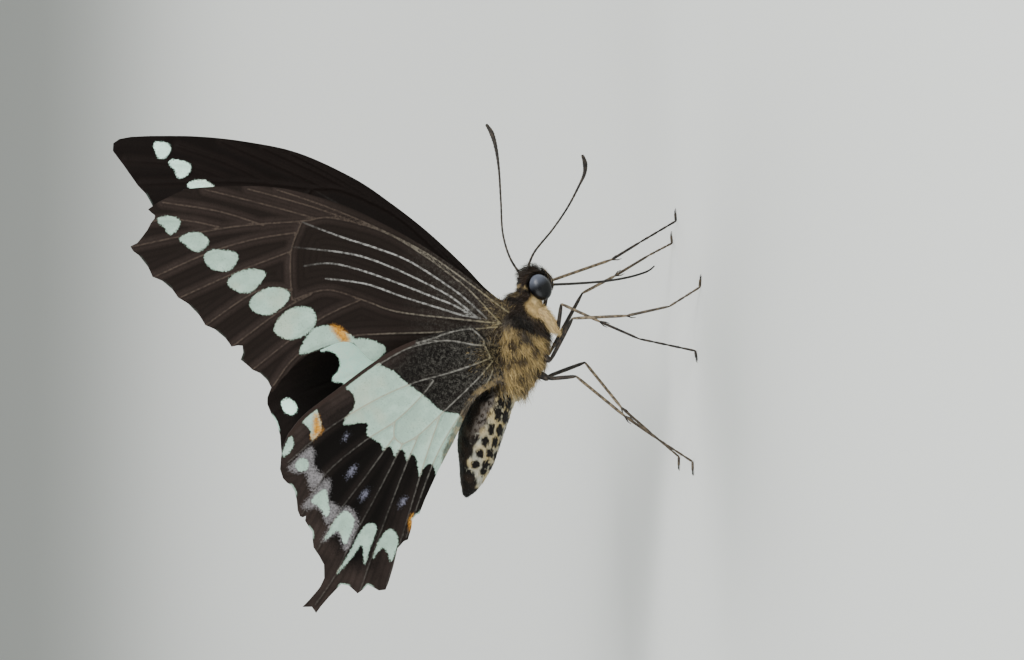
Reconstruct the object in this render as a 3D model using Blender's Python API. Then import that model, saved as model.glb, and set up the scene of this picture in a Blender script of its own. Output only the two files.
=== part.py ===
"""A swallowtail butterfly resting on its six feet with its wings closed over its back.

+X is forward, +Y is the animal's left and +Z is up. The origin is on the floor, under the
middle of its bounding box. Lengths here are millimetres until a mesh is made. A wing is drawn
flat, in (out, back) from its hinge, and then set up on the body.
"""
import math

import bmesh
import bpy
from mathutils import Matrix, Vector
from mathutils.geometry import delaunay_2d_cdt, interpolate_bezier

MILLIMETRE = 0.001
GAP = 0.3
RIGHT, LEFT = -1, 1
SIDE_NAMES = {RIGHT: "right", LEFT: "left"}

# Wings
WING_THICKNESS = 0.5
VEIN_RISE = 0.14
VEIN_HALF_WIDTH = 0.42
WING_BOW = 0.7
WING_SPAN = 50.0
FORE_HINGE = Vector((5.4, 2.0, 21.9))
FORE_LEAN = math.radians(6.5)
FORE_SWING = {RIGHT: 0.0, LEFT: math.radians(10.0)}
HIND_HINGE = Vector((1.0, 3.2, 23.2))
HIND_LEAN = math.radians(8.5)
HIND_SWING = {RIGHT: 0.0, LEFT: math.radians(11.0)}
HIND_SWING_AT_TAIL = {RIGHT: 0.0, LEFT: math.radians(2.0)}
FAN_START = math.radians(22.0)
FAN_END = math.radians(50.0)
HIND_ROOT_BEND = 1.1
HIND_BEND_LENGTH = 4.0
RIDGE_STEP = 2.4
FIELD_STEP = 3.2
FIELD_MARGIN = 0.9
RIM_MARGIN = 0.35
CLOSE = 1e-4

FORE_COSTA = [(-1.6, 1.6), (-1.6, -1.3), (2.2, -3.3), (5.5, -5.7), (10.3, -8.8), (15.2, -11.4),
              (20.0, -13.5), (27.0, -15.3), (33.6, -15.5), (39.0, -15.1), (44.4, -14.2)]
FORE_APEX = [(47.9, -13.2), (48.5, -12.6), (48.4, -11.7), (46.8, -10.2)]
FORE_TORN_APEX = [(38.6, -15.0), (40.6, -14.2), (42.7, -12.8), (41.9, -12.1), (42.4, -11.2),
                  (43.5, -9.5), (44.8, -8.5)]
FORE_VEIN_ENDS = [(44.8, -8.2), (42.2, -5.0), (39.2, -2.6), (36.0, 0.6), (32.9, 3.1), (30.4, 5.8),
                  (28.2, 7.9)]
FORE_TEAR_PLACE = 5
FORE_TEAR = [(31.6, 3.0), (31.8, 4.6)]
FORE_INNER = [(26.4, 6.3), (24.8, 4.5), (22.4, 3.5), (20.0, 2.6), (18.4, 2.8), (17.2, 3.9),
              (15.6, 4.9), (11.0, 4.4), (6.5, 3.0), (3.6, 2.5), (1.2, 2.4)]
FORE_SCALLOP = 0.35
FORE_VEINS = [
    [(0.6, -1.2), (5.4, -5.0), (10.0, -8.0), (16.0, -10.9), (22.0, -13.3), (27.5, -15.1)],
    [(0.6, 0.0), (5.4, -4.1), (10.3, -7.8), (15.1, -10.4), (21.1, -11.9), (24.6, -11.5),
     (33.6, -10.7), (43.5, -8.9)],
    [(17.5, -11.1), (23.5, -13.2), (31.0, -15.2)],
    [(22.9, -11.8), (29.0, -13.4), (36.0, -15.1)],
    [(29.2, -11.0), (34.5, -12.6), (41.0, -13.6)],
    [(24.6, -11.5), (25.8, -8.5), (26.0, -5.8), (25.8, -2.3)],
    [(25.1, -10.2), (30.6, -9.3), (36.1, -7.6), (41.8, -4.7)],
    [(25.9, -8.0), (32.7, -5.4), (38.8, -2.3)],
    [(25.8, -3.5), (30.0, -3.3), (35.6, 0.6)],
    [(0.6, 0.4), (6.6, -0.2), (13.3, -1.0), (17.5, -2.4), (21.7, -3.5), (25.8, -2.3)],
    [(23.5, -3.0), (27.4, -0.9), (32.5, 2.9)],
    [(17.5, -2.4), (23.0, 0.2), (30.0, 5.4)],
    [(1.0, 0.8), (7.9, 1.4), (14.5, 1.6), (19.4, 2.0), (24.9, 3.9), (27.8, 7.4)],
]

HIND_SHOULDER = [(-2.8, 2.2), (-2.8, -0.6), (-0.4, -1.5), (1.4, -2.5), (3.2, -3.7), (5.5, -3.3)]
HIND_COSTA = {
    RIGHT: [(10.3, -1.9), (14.0, -0.1), (19.4, 3.7), (23.3, 6.6), (25.2, 8.8)],
    LEFT: [(10.3, -3.0), (14.4, -1.9), (19.4, 1.6), (23.0, 5.6), (24.5, 8.5)],
}
HIND_MARGIN = {
    RIGHT: [(25.9, 10.4), (26.2, 12.9), (25.3, 14.5), (24.5, 15.3), (24.2, 16.5), (23.9, 18.2),
            (23.3, 18.8), (22.7, 19.6), (22.2, 20.4), (22.2, 22.0), (21.4, 23.1), (20.8, 24.2),
            (20.9, 25.6), (21.9, 27.2), (23.5, 28.9), (21.9, 29.6), (21.3, 28.8), (19.4, 26.8),
            (18.9, 26.3), (17.9, 26.5), (16.9, 27.4), (15.7, 26.4), (14.3, 27.1), (13.5, 27.0),
            (13.1, 25.9), (12.1, 22.2), (10.8, 21.2), (10.4, 19.0), (9.6, 18.3), (8.7, 16.5)],
    LEFT: [(24.6, 10.3), (23.4, 11.7), (22.9, 12.8), (22.7, 14.4), (21.9, 16.0), (20.7, 16.9),
           (19.6, 18.6), (18.4, 20.0), (17.5, 21.9), (17.7, 23.6), (18.3, 25.0), (17.4, 25.2),
           (16.6, 24.3), (14.9, 25.4), (13.8, 24.7), (12.4, 25.2), (11.7, 22.8), (10.8, 20.6),
           (9.0, 17.5)],
}
HIND_INNER = [(7.1, 13.2), (5.2, 9.8), (2.8, 5.2), (0.4, 3.4)]
HIND_VEINS = [
    [(0.2, -0.8), (2.6, -3.1)],
    [(0.6, -1.2), (4.3, -1.9), (7.9, -1.8), (11.5, -0.8), (14.6, 0.9)],
    [(0.2, 0.0), (5.5, 1.7), (10.3, 3.0), (15.2, 5.1), (20.6, 8.3), (25.0, 11.8)],
    [(7.7, 2.7), (9.4, 4.7), (12.4, 7.4), (16.4, 9.9), (21.0, 13.7), (23.3, 17.7)],
    [(12.4, 7.4), (12.5, 9.2), (11.5, 10.1)],
    [(12.5, 9.2), (15.8, 13.6), (19.4, 18.2), (21.5, 22.0)],
    [(0.2, 0.5), (3.0, 3.2), (6.8, 6.6), (9.5, 9.0), (11.5, 10.1)],
    [(11.5, 10.1), (14.0, 14.8), (17.6, 21.2), (19.6, 25.0)],
    [(9.5, 9.0), (11.5, 13.6), (14.5, 21.2), (16.2, 26.2)],
    [(6.8, 6.6), (8.8, 12.1), (10.9, 18.8), (13.0, 26.0)],
    [(0.2, 0.9), (1.8, 3.2), (4.4, 6.3), (7.4, 11.6), (10.8, 20.5)],
]

# Body stations: x, height of the centre, half width, half height
THORAX = [(8.3, 20.2, 0.9, 1.0), (7.7, 19.9, 1.75, 1.9), (6.7, 19.5, 2.45, 2.6),
          (4.9, 19.6, 3.1, 3.3), (2.6, 19.8, 3.5, 3.5), (0.2, 20.1, 3.45, 3.3),
          (-1.8, 20.9, 3.0, 2.6), (-3.0, 21.5, 2.1, 1.8)]
ABDOMEN = [(-2.0, 21.9, 1.9, 2.0), (-4.1, 23.0, 2.6, 2.6), (-6.7, 24.1, 2.65, 2.85),
           (-9.1, 24.7, 2.45, 2.6), (-11.4, 25.0, 2.05, 2.1), (-13.1, 25.4, 1.5, 1.6),
           (-14.5, 25.8, 0.95, 1.0), (-15.2, 26.1, 0.45, 0.5)]
HEAD = [(11.5, 18.4, 1.0, 1.0), (11.0, 18.3, 1.6, 1.7), (9.6, 18.2, 1.95, 2.1),
        (8.4, 18.5, 1.7, 1.9), (7.4, 18.8, 1.2, 1.3)]
BODY_SIDES = 28
BODY_CORNER = 2.3
STATION_STEPS = 3
END_ROUNDING = 0.45

EYE_CENTRE = Vector((9.25, 1.6, 17.62))
EYE_RADII = Vector((1.6, 1.0, 1.26))
EYE_TURN = math.radians(-28.0)
EYE_SEGMENTS = 24
EYE_RINGS = 16

# Feelers, mouth parts and legs: places on the right side have a negative y
ANTENNAE = {
    RIGHT: [(10.9, -0.7, 19.2), (13.3, -1.5, 18.4), (16.0, -2.8, 16.4), (18.6, -4.2, 14.8),
            (21.2, -5.5, 13.6), (22.5, -6.1, 13.1), (23.7, -6.6, 13.1), (24.7, -7.0, 13.5)],
    LEFT: [(10.4, 0.7, 19.4), (12.7, 1.5, 20.8), (15.7, 2.8, 21.5), (19.4, 4.4, 21.5),
           (23.1, 6.0, 21.5), (25.8, 7.2, 21.7), (27.6, 8.0, 22.1), (28.7, 8.5, 22.7)],
}
ANTENNA_RADII = [0.3, 0.26, 0.25, 0.25, 0.27, 0.36, 0.44, 0.26]
PALP = [(8.3, 0.6, 16.7), (9.3, 0.75, 16.05), (10.4, 0.75, 16.1), (11.6, 0.7, 16.9)]
PALP_RADII = [0.3, 0.42, 0.47, 0.28]
PROBOSCIS = [(9.7, 0.0, 17.4), (9.6, 0.0, 15.6), (9.9, 0.0, 10.6), (10.4, 0.0, 7.2),
             (11.1, 0.0, 4.8), (11.8, 0.0, 3.8)]
PROBOSCIS_RADII = [0.32, 0.28, 0.26, 0.25, 0.25, 0.2]

LEG_JOINTS = {
    ("foreleg", RIGHT): [(6.6, -1.3, 17.8), (4.0, -2.2, 15.7), (7.3, -3.2, 15.4), (5.2, -4.6, 11.0),
                         (3.2, -6.0, 6.6), (1.8, -7.2, 0.3)],
    ("foreleg", LEFT): [(6.6, 1.3, 17.8), (6.2, 2.6, 16.7), (10.0, 3.2, 15.9), (12.6, 4.4, 8.2),
                        (14.7, 5.5, 4.6), (17.2, 6.8, 0.3)],
    ("midleg", RIGHT): [(1.8, -1.4, 18.2), (0.6, -2.4, 16.6), (5.6, -5.5, 14.4), (5.9, -7.6, 8.3),
                        (7.0, -9.0, 3.5), (9.2, -10.2, 0.3)],
    ("midleg", LEFT): [(1.8, 1.4, 18.2), (1.6, 2.4, 15.9), (8.6, 5.5, 11.6), (10.7, 7.0, 7.4),
                       (13.2, 8.6, 3.0), (14.6, 9.6, 0.3)],
    ("hindleg", RIGHT): [(-0.6, -1.2, 18.6), (-1.5, -1.9, 16.7), (-1.2, -3.6, 13.7),
                         (-5.9, -4.3, 8.0), (-8.5, -4.8, 4.3), (-11.2, -5.2, 0.3)],
    ("hindleg", LEFT): [(-0.6, 1.2, 18.6), (-1.3, 1.9, 16.4), (0.4, 3.4, 11.6), (-5.0, 4.0, 7.1),
                        (-8.1, 4.3, 3.4), (-10.8, 4.6, 0.3)],
}
LEG_RADII = [0.6, 0.4, 0.31, 0.27, 0.26, 0.26]
FORE_COXA_RADIUS = 0.85
LEG_SIDES = 8
FOOT_LENGTH = 1.5
FOOT_SINK = 0.12
FOOT_RADIUS = 0.28

COLOURS = {
    "wing_dark": (0.035, 0.026, 0.018, 1.0),
    "body_dark": (0.05, 0.035, 0.02, 1.0),
    "body_gold": (0.33, 0.22, 0.09, 1.0),
    "abdomen_buff": (0.42, 0.35, 0.24, 1.0),
    "eye": (0.03, 0.04, 0.06, 1.0),
    "horn": (0.04, 0.03, 0.022, 1.0),
}
SKIN_ROUGHNESS = 0.75
EYE_ROUGHNESS = 0.12


def clear_scene():
    for item in list(bpy.data.objects):
        bpy.data.objects.remove(item, do_unlink=True)


def material(name, roughness=SKIN_ROUGHNESS):
    found = bpy.data.materials.get(name)
    if found:
        return found
    made = bpy.data.materials.new(name)
    made.use_nodes = True
    principled = made.node_tree.nodes["Principled BSDF"]
    principled.inputs["Base Color"].default_value = COLOURS[name]
    principled.inputs["Roughness"].default_value = roughness
    principled.inputs["Metallic"].default_value = 0.0
    return made


def make_object(name, shape, colour, roughness=SKIN_ROUGHNESS, smooth=True):
    """Turn a bmesh in millimetres into an object in metres."""
    bmesh.ops.scale(shape, vec=(MILLIMETRE,) * 3, verts=shape.verts)
    bmesh.ops.recalc_face_normals(shape, faces=shape.faces)
    mesh = bpy.data.meshes.new(name)
    shape.to_mesh(mesh)
    shape.free()
    if smooth:
        mesh.shade_smooth()
    mesh.materials.append(material(colour, roughness))
    item = bpy.data.objects.new(name, mesh)
    bpy.context.scene.collection.objects.link(item)
    return item


def smooth_path(points, steps):
    """Points along a curve through the given ones, with a few steps in each stretch."""
    places = [Vector(point) for point in points]
    result = []
    for index in range(len(places) - 1):
        start, end = places[index], places[index + 1]
        before = places[max(index - 1, 0)]
        after = places[min(index + 2, len(places) - 1)]
        handle_out = start + (end - before) / 6
        handle_in = end - (after - start) / 6
        result += interpolate_bezier(start, handle_out, handle_in, end, steps + 1)[:-1]
    return result + [places[-1]]


def spread_values(values, steps):
    """Values in between, to match the points of smooth_path."""
    result = []
    for first, second in zip(values, values[1:]):
        result += [first + (second - first) * step / steps for step in range(steps)]
    return result + [values[-1]]


def skin_rings(shape, rings):
    """Join rings of vertices into one closed tube."""
    for first, second in zip(rings, rings[1:]):
        for index in range(len(first)):
            following = (index + 1) % len(first)
            shape.faces.new((first[index], first[following], second[following], second[index]))
    for ring in (rings[0], rings[-1]):
        middle = sum((vertex.co for vertex in ring), Vector()) / len(ring)
        tip = shape.verts.new(middle)
        for index in range(len(ring)):
            shape.faces.new((ring[index], ring[(index + 1) % len(ring)], tip))


def body_shape(stations, grow=0.0, sides=BODY_SIDES):
    """A body part as rounded sections across x, grown outwards for a cutter."""
    rows = smooth_path([(x, z, width) for x, z, width, _ in stations], STATION_STEPS)
    heights = spread_values([height for *_, height in stations], STATION_STEPS)
    ends = (rows[0], rows[-1])
    sections = [(row.x, row.y, row.z, height) for row, height in zip(rows, heights)]
    direction = 1 if ends[0].x > ends[1].x else -1
    first, last = sections[0], sections[-1]
    nose = (first[0] + direction * (first[3] * END_ROUNDING + grow), first[1],
            first[2] * END_ROUNDING, first[3] * END_ROUNDING)
    tail = (last[0] - direction * (last[3] * END_ROUNDING + grow), last[1],
            last[2] * END_ROUNDING, last[3] * END_ROUNDING)
    shape = bmesh.new()
    rings = []
    for x, middle, width, height in [nose] + sections + [tail]:
        ring = []
        for index in range(sides):
            angle = math.tau * index / sides
            across, up = math.cos(angle), math.sin(angle)
            reach = (abs(across) ** BODY_CORNER + abs(up) ** BODY_CORNER) ** (-1 / BODY_CORNER)
            place = (x, (width + grow) * across * reach, middle + (height + grow) * up * reach)
            ring.append(shape.verts.new(place))
        rings.append(ring)
    skin_rings(shape, rings)
    return shape


def limb_shape(points, radii, sides=LEG_SIDES, steps=1):
    """A round limb along a path, with rounded ends."""
    path = smooth_path(points, steps)
    sizes = spread_values(radii, steps)
    shape = bmesh.new()
    rings = []
    heading = (path[1] - path[0]).normalized()
    across = heading.orthogonal().normalized()
    path = [path[0] - heading * sizes[0] * END_ROUNDING] + path
    last_heading = (path[-1] - path[-2]).normalized()
    path.append(path[-1] + last_heading * sizes[-1] * END_ROUNDING)
    sizes = [sizes[0] * END_ROUNDING] + sizes + [sizes[-1] * END_ROUNDING]
    for index, place in enumerate(path):
        before, after = path[max(index - 1, 0)], path[min(index + 1, len(path) - 1)]
        heading = (after - before).normalized()
        across = (across - heading * across.dot(heading)).normalized()
        upward = heading.cross(across)
        ring = []
        for number in range(sides):
            angle = math.tau * number / sides
            offset = across * math.cos(angle) + upward * math.sin(angle)
            ring.append(shape.verts.new(place + offset * sizes[index]))
        rings.append(ring)
    skin_rings(shape, rings)
    return shape


def boolean(item, operation, others):
    """Apply one Boolean with a collection of cutters or pieces, then remove them."""
    group = bpy.data.collections.new("pieces")
    for other in others:
        group.objects.link(other)
        other.hide_render = True
        other.display_type = "WIRE"
    modifier = item.modifiers.new("Boolean", "BOOLEAN")
    modifier.operation = operation
    modifier.solver = "EXACT"
    modifier.operand_type = "COLLECTION"
    modifier.collection = group
    graph = bpy.context.evaluated_depsgraph_get()
    shaped = bpy.data.meshes.new_from_object(item.evaluated_get(graph))
    item.modifiers.clear()
    item.data = shaped
    for other in others:
        bpy.data.objects.remove(other, do_unlink=True)
    bpy.data.collections.remove(group)


def shell_volume(faces):
    """Signed volume of one connected surface."""
    total = 0.0
    for face in faces:
        corners = [vertex.co for vertex in face.verts]
        for index in range(1, len(corners) - 1):
            total += corners[0].dot(corners[index].cross(corners[index + 1])) / 6
    return total


def keep_largest(item):
    """Keep only the largest closed surface of a mesh."""
    shape = bmesh.new()
    shape.from_mesh(item.data)
    bmesh.ops.triangulate(shape, faces=shape.faces)
    remaining = set(shape.faces)
    shells = []
    while remaining:
        stack = [remaining.pop()]
        shell = list(stack)
        while stack:
            for edge in stack.pop().edges:
                for face in edge.link_faces:
                    if face in remaining:
                        remaining.discard(face)
                        stack.append(face)
                        shell.append(face)
        shells.append(shell)
    shells.sort(key=shell_volume, reverse=True)
    dropped = [face for shell in shells[1:] for face in shell]
    bmesh.ops.delete(shape, geom=dropped, context="FACES")
    shape.to_mesh(item.data)
    shape.free()


def cut(item, *cutters):
    boolean(item, "DIFFERENCE", list(cutters))
    keep_largest(item)


def cutter(shape):
    return make_object("cutter", shape, "horn")


def segment_distance(place, start, end):
    """Distance from a place to the stretch between two others, in the flat wing."""
    stretch = end - start
    share = max(0.0, min(1.0, (place - start).dot(stretch) / stretch.length_squared))
    return (place - start - stretch * share).length


def is_clear(place, lines, margin):
    return min(segment_distance(place, *line) for line in lines) > margin


def is_inside(place, outline):
    """Whether a place of the flat wing lies within the closed outline."""
    crossings = 0
    for start, end in zip(outline, outline[1:] + outline[:1]):
        if (start.y > place.y) != (end.y > place.y):
            share = (place.y - start.y) / (end.y - start.y)
            crossings += start.x + (end.x - start.x) * share > place.x
    return crossings % 2 == 1


def flat_path(points, step):
    """A smooth vein, sampled at about the given step."""
    length = sum((Vector(b) - Vector(a)).length for a, b in zip(points, points[1:]))
    steps = max(1, round(length / step / (len(points) - 1)))
    curve = smooth_path([(out, back, 0.0) for out, back in points], steps)
    return [place.to_2d() for place in curve]


def scalloped(ends, depth):
    """A margin through the ends of the veins, drawn in between them."""
    places = [Vector(end) for end in ends]
    result = []
    for start, end in zip(places, places[1:]):
        across = end - start
        inward = Vector((-abs(across.y), -across.x)).normalized()
        inward = inward if inward.x < 0 else -inward
        result += [start, start.lerp(end, 0.35) + inward * depth,
                   start.lerp(end, 0.7) + inward * depth]
    return result + [places[-1]]


def fore_outline(side):
    """The front wing's edge; the right wing has lost its tip and a nick of its margin."""
    costa = flat_path(FORE_COSTA[1:], RIDGE_STEP)
    margin = scalloped(FORE_VEIN_ENDS, FORE_SCALLOP)
    inner = flat_path(FORE_INNER, RIDGE_STEP)
    if side == RIGHT:
        costa = [place for place in costa if place.x < FORE_TORN_APEX[0][0]]
        apex = [Vector(point) for point in FORE_TORN_APEX]
        above = scalloped(FORE_VEIN_ENDS[:FORE_TEAR_PLACE], FORE_SCALLOP)
        below = scalloped(FORE_VEIN_ENDS[FORE_TEAR_PLACE:], FORE_SCALLOP)
        margin = above[1:] + [Vector(point) for point in FORE_TEAR] + below
    else:
        apex = [Vector(point) for point in FORE_APEX]
    return [Vector(FORE_COSTA[0])] + costa + apex + margin + inner


def hind_outline(side):
    """The rear wing's edge, with the stub of its tail."""
    front = HIND_SHOULDER + HIND_COSTA[side]
    costa = flat_path(front[1:], RIDGE_STEP)
    margin = [Vector(point) for point in HIND_MARGIN[side]]
    inner = flat_path(HIND_INNER, RIDGE_STEP)
    return [Vector(front[0])] + costa + margin + inner


def wing_place(flat, side, hinge, lean, swing, swing_at_tail, bend, offset):
    """Set a point of the flat wing on the body, offset outwards from its middle sheet."""
    angle = math.atan2(flat.y, max(flat.x, 1e-6))
    share = max(0.0, min(1.0, (angle - FAN_START) / (FAN_END - FAN_START)))
    turn = swing + (swing_at_tail - swing) * share
    out = flat.x * math.cos(turn) + flat.y * math.sin(turn)
    back = flat.y * math.cos(turn) - flat.x * math.sin(turn)
    along = max(0.0, min(1.0, out / WING_SPAN))
    depth = offset + WING_BOW * 4 * along * (1 - along)
    if bend:
        reach = math.hypot(max(out, 0.0), back)
        depth -= bend * max(0.0, 1 - reach / HIND_BEND_LENGTH) ** 2
    outward = math.sin(lean) * out + math.cos(lean) * depth
    upward = math.cos(lean) * out - math.sin(lean) * depth
    return Vector((hinge.x - back, side * (hinge.y + outward), hinge.z + upward))


def wing_shape(outline, veins, place_at):
    """A thin sheet, its veins raised on both faces, alike on either side."""
    flat = [Vector(point) for point in outline]
    border = list(range(len(flat)))
    edges = []
    segments = []
    rim = list(zip(outline, outline[1:] + outline[:1]))
    for vein in veins:
        line = flat_path(vein, RIDGE_STEP)
        segments += list(zip(line, line[1:]))
        for shift in (-VEIN_HALF_WIDTH, 0.0, VEIN_HALF_WIDTH):
            previous = None
            for index, place in enumerate(line):
                before, after = line[max(index - 1, 0)], line[min(index + 1, len(line) - 1)]
                heading = (after - before).normalized()
                shifted = place + Vector((-heading.y, heading.x)) * shift
                if not is_clear(shifted, rim, RIM_MARGIN) or not is_inside(shifted, outline):
                    previous = None
                    continue
                flat.append(shifted)
                if previous is not None:
                    edges.append((previous, len(flat) - 1))
                previous = len(flat) - 1
    low = Vector((min(point.x for point in outline), min(point.y for point in outline)))
    high = Vector((max(point.x for point in outline), max(point.y for point in outline)))
    out = low.x + FIELD_STEP / 2
    row_number = 0
    while out < high.x:
        back = low.y + FIELD_STEP / 2 * (1 + row_number % 2)
        while back < high.y:
            place = Vector((out, back))
            if is_clear(place, segments + rim, FIELD_MARGIN) and is_inside(place, outline):
                flat.append(place)
            back += FIELD_STEP
        out += FIELD_STEP * 0.8
        row_number += 1
    edges += list(zip(border, border[1:] + border[:1]))
    places, _, triangles, *_ = delaunay_2d_cdt(flat, edges, [], 0, CLOSE, False)
    triangles = [triangle for triangle in triangles if is_inside(
        sum((places[index] for index in triangle), Vector((0, 0))) / 3, outline)]
    shape = bmesh.new()
    layers = []
    for direction in (-1, 1):
        layer = []
        for place in places:
            near = min(segment_distance(place, *line) for line in segments)
            rise = VEIN_RISE * max(0.0, 1 - near / VEIN_HALF_WIDTH)
            layer.append(shape.verts.new(place_at(place, direction * (WING_THICKNESS / 2 + rise))))
        layers.append(layer)
    counts = {}
    for triangle in triangles:
        for index in range(3):
            pair = (triangle[index], triangle[(index + 1) % 3])
            counts[pair] = counts.get(pair, 0) + 1
    for triangle in triangles:
        shape.faces.new([layers[1][index] for index in triangle])
        shape.faces.new([layers[0][index] for index in reversed(triangle)])
    for first, second in counts:
        if (second, first) not in counts:
            shape.faces.new((layers[0][first], layers[0][second], layers[1][second],
                             layers[1][first]))
    loose = [vertex for vertex in shape.verts if not vertex.link_faces]
    bmesh.ops.delete(shape, geom=loose, context="VERTS")
    bmesh.ops.triangulate(shape, faces=[face for face in shape.faces if len(face.verts) > 3])
    return shape


def make_wings(side):
    def fore_at(flat, offset):
        swing = FORE_SWING[side]
        return wing_place(flat, side, FORE_HINGE, FORE_LEAN, swing, swing, 0.0, offset)

    def hind_at(flat, offset):
        return wing_place(flat, side, HIND_HINGE, HIND_LEAN, HIND_SWING[side],
                          HIND_SWING_AT_TAIL[side], HIND_ROOT_BEND, offset)

    name = SIDE_NAMES[side]
    fore = make_object(f"forewing_{name}", wing_shape(fore_outline(side), FORE_VEINS, fore_at),
                       "wing_dark")
    hind = make_object(f"hindwing_{name}", wing_shape(hind_outline(side), HIND_VEINS, hind_at),
                       "wing_dark")
    cut(fore, cutter(body_shape(THORAX, GAP)))
    cut(hind, cutter(body_shape(THORAX, GAP)), cutter(body_shape(ABDOMEN, GAP)))


def eye_shape(side, grow=0.0):
    shape = bmesh.new()
    bmesh.ops.create_uvsphere(shape, u_segments=EYE_SEGMENTS, v_segments=EYE_RINGS, radius=1.0)
    radii = EYE_RADII + Vector((grow, grow, grow))
    bmesh.ops.scale(shape, vec=radii, verts=shape.verts)
    bmesh.ops.rotate(shape, matrix=Matrix.Rotation(EYE_TURN, 3, "Y"), verts=shape.verts)
    centre = Vector((EYE_CENTRE.x, side * EYE_CENTRE.y, EYE_CENTRE.z))
    bmesh.ops.translate(shape, vec=centre, verts=shape.verts)
    return shape


def make_body():
    make_object("thorax", body_shape(THORAX), "body_gold")
    abdomen = make_object("abdomen", body_shape(ABDOMEN), "abdomen_buff")
    cut(abdomen, cutter(body_shape(THORAX, GAP)))
    head = make_object("head", body_shape(HEAD), "body_dark")
    cut(head, cutter(body_shape(THORAX, GAP)))
    for side in (RIGHT, LEFT):
        cut(head, cutter(eye_shape(side, GAP)))
        make_object(f"eye_{SIDE_NAMES[side]}", eye_shape(side), "eye", EYE_ROUGHNESS)


def make_head_parts(side):
    name = SIDE_NAMES[side]
    antenna = make_object(f"antenna_{name}", limb_shape(ANTENNAE[side], ANTENNA_RADII, steps=3),
                          "horn")
    palp_points = [(x, side * y, z) for x, y, z in PALP]
    palp = make_object(f"palp_{name}", limb_shape(palp_points, PALP_RADII, 10, 3), "body_dark")
    cut(palp, cutter(body_shape(HEAD, GAP)), cutter(eye_shape(side, GAP)))
    cut(antenna, cutter(body_shape(HEAD, GAP)))


def make_proboscis():
    proboscis = make_object("proboscis", limb_shape(PROBOSCIS, PROBOSCIS_RADII, steps=3), "horn")
    cut(proboscis, cutter(body_shape(HEAD, GAP)))


def make_leg(kind, side):
    """A leg as one limb for each of its joints, joined, with a small flat under the foot."""
    joints = [Vector(place) for place in LEG_JOINTS[kind, side]]
    toe = joints[-1].copy()
    forward = (joints[-1] - joints[-2]).normalized()
    flat_forward = Vector((forward.x, forward.y, 0.0)).normalized()
    sole = FOOT_RADIUS - FOOT_SINK
    heel = Vector((toe.x, toe.y, sole))
    joints[-1] = heel
    radii = list(LEG_RADII)
    if kind == "foreleg":
        radii[0] = FORE_COXA_RADIUS
        radii[1] = FORE_COXA_RADIUS * 0.7
    pieces = []
    for index in range(len(joints) - 1):
        ends = [joints[index], joints[index].lerp(joints[index + 1], 0.5), joints[index + 1]]
        sizes = [radii[index], (radii[index] + radii[index + 1]) / 2, radii[index + 1]]
        pieces.append(make_object("piece", limb_shape(ends, sizes), "horn"))
    foot_ends = [heel, heel + flat_forward * FOOT_LENGTH / 2, heel + flat_forward * FOOT_LENGTH]
    pieces.append(make_object("piece", limb_shape(foot_ends, [FOOT_RADIUS] * 3), "horn"))
    leg = pieces[0]
    leg.name = f"{kind}_{SIDE_NAMES[side]}"
    boolean(leg, "UNION", pieces[1:])
    keep_largest(leg)
    cut(leg, cutter(body_shape(THORAX, GAP)))
    trim_sole(leg)


def trim_sole(leg):
    """Cut the foot off level with the floor."""
    shape = bmesh.new()
    shape.from_mesh(leg.data)
    geometry = shape.verts[:] + shape.edges[:] + shape.faces[:]
    cut_parts = bmesh.ops.bisect_plane(shape, geom=geometry, plane_co=(0, 0, 0),
                                       plane_no=(0, 0, -1), clear_outer=True)["geom_cut"]
    rim = [part for part in cut_parts if isinstance(part, bmesh.types.BMEdge)]
    bmesh.ops.contextual_create(shape, geom=rim)
    bmesh.ops.triangulate(shape, faces=shape.faces)
    bmesh.ops.recalc_face_normals(shape, faces=shape.faces)
    shape.to_mesh(leg.data)
    shape.free()


def trim_front_legs():
    """Give the front legs their gap to the head and the eye above them."""
    for side in (RIGHT, LEFT):
        leg = bpy.data.objects[f"foreleg_{SIDE_NAMES[side]}"]
        cut(leg, cutter(body_shape(HEAD, GAP)), cutter(eye_shape(side, GAP)))


def centre_on_origin():
    """Move everything so that the middle of the bounding box is over the origin."""
    places = [item.matrix_world @ vertex.co for item in bpy.data.objects
              for vertex in item.data.vertices]
    middle = [(min(place[axis] for place in places) + max(place[axis] for place in places)) / 2
              for axis in (0, 1)]
    lowest = min(place[2] for place in places)
    shift = Matrix.Translation((-middle[0], -middle[1], -lowest))
    for item in bpy.data.objects:
        item.data.transform(shift)


def main():
    clear_scene()
    make_body()
    for side in (RIGHT, LEFT):
        make_wings(side)
        make_head_parts(side)
        for kind in ("foreleg", "midleg", "hindleg"):
            make_leg(kind, side)
    make_proboscis()
    trim_front_legs()
    centre_on_origin()


main()
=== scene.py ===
# %% [markdown]
# # A swallowtail butterfly with closed wings
# The model rests on its six feet, and its wings are held together over its back. The packed
# solids give every place and size. This script gives them their finish: scaled wings with
# raised veins, a furry body, glossy eyes and jointed legs.

import math

import bmesh
import bpy
import numpy as np
from mathutils import Matrix, Vector
from mathutils.geometry import interpolate_bezier


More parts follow.
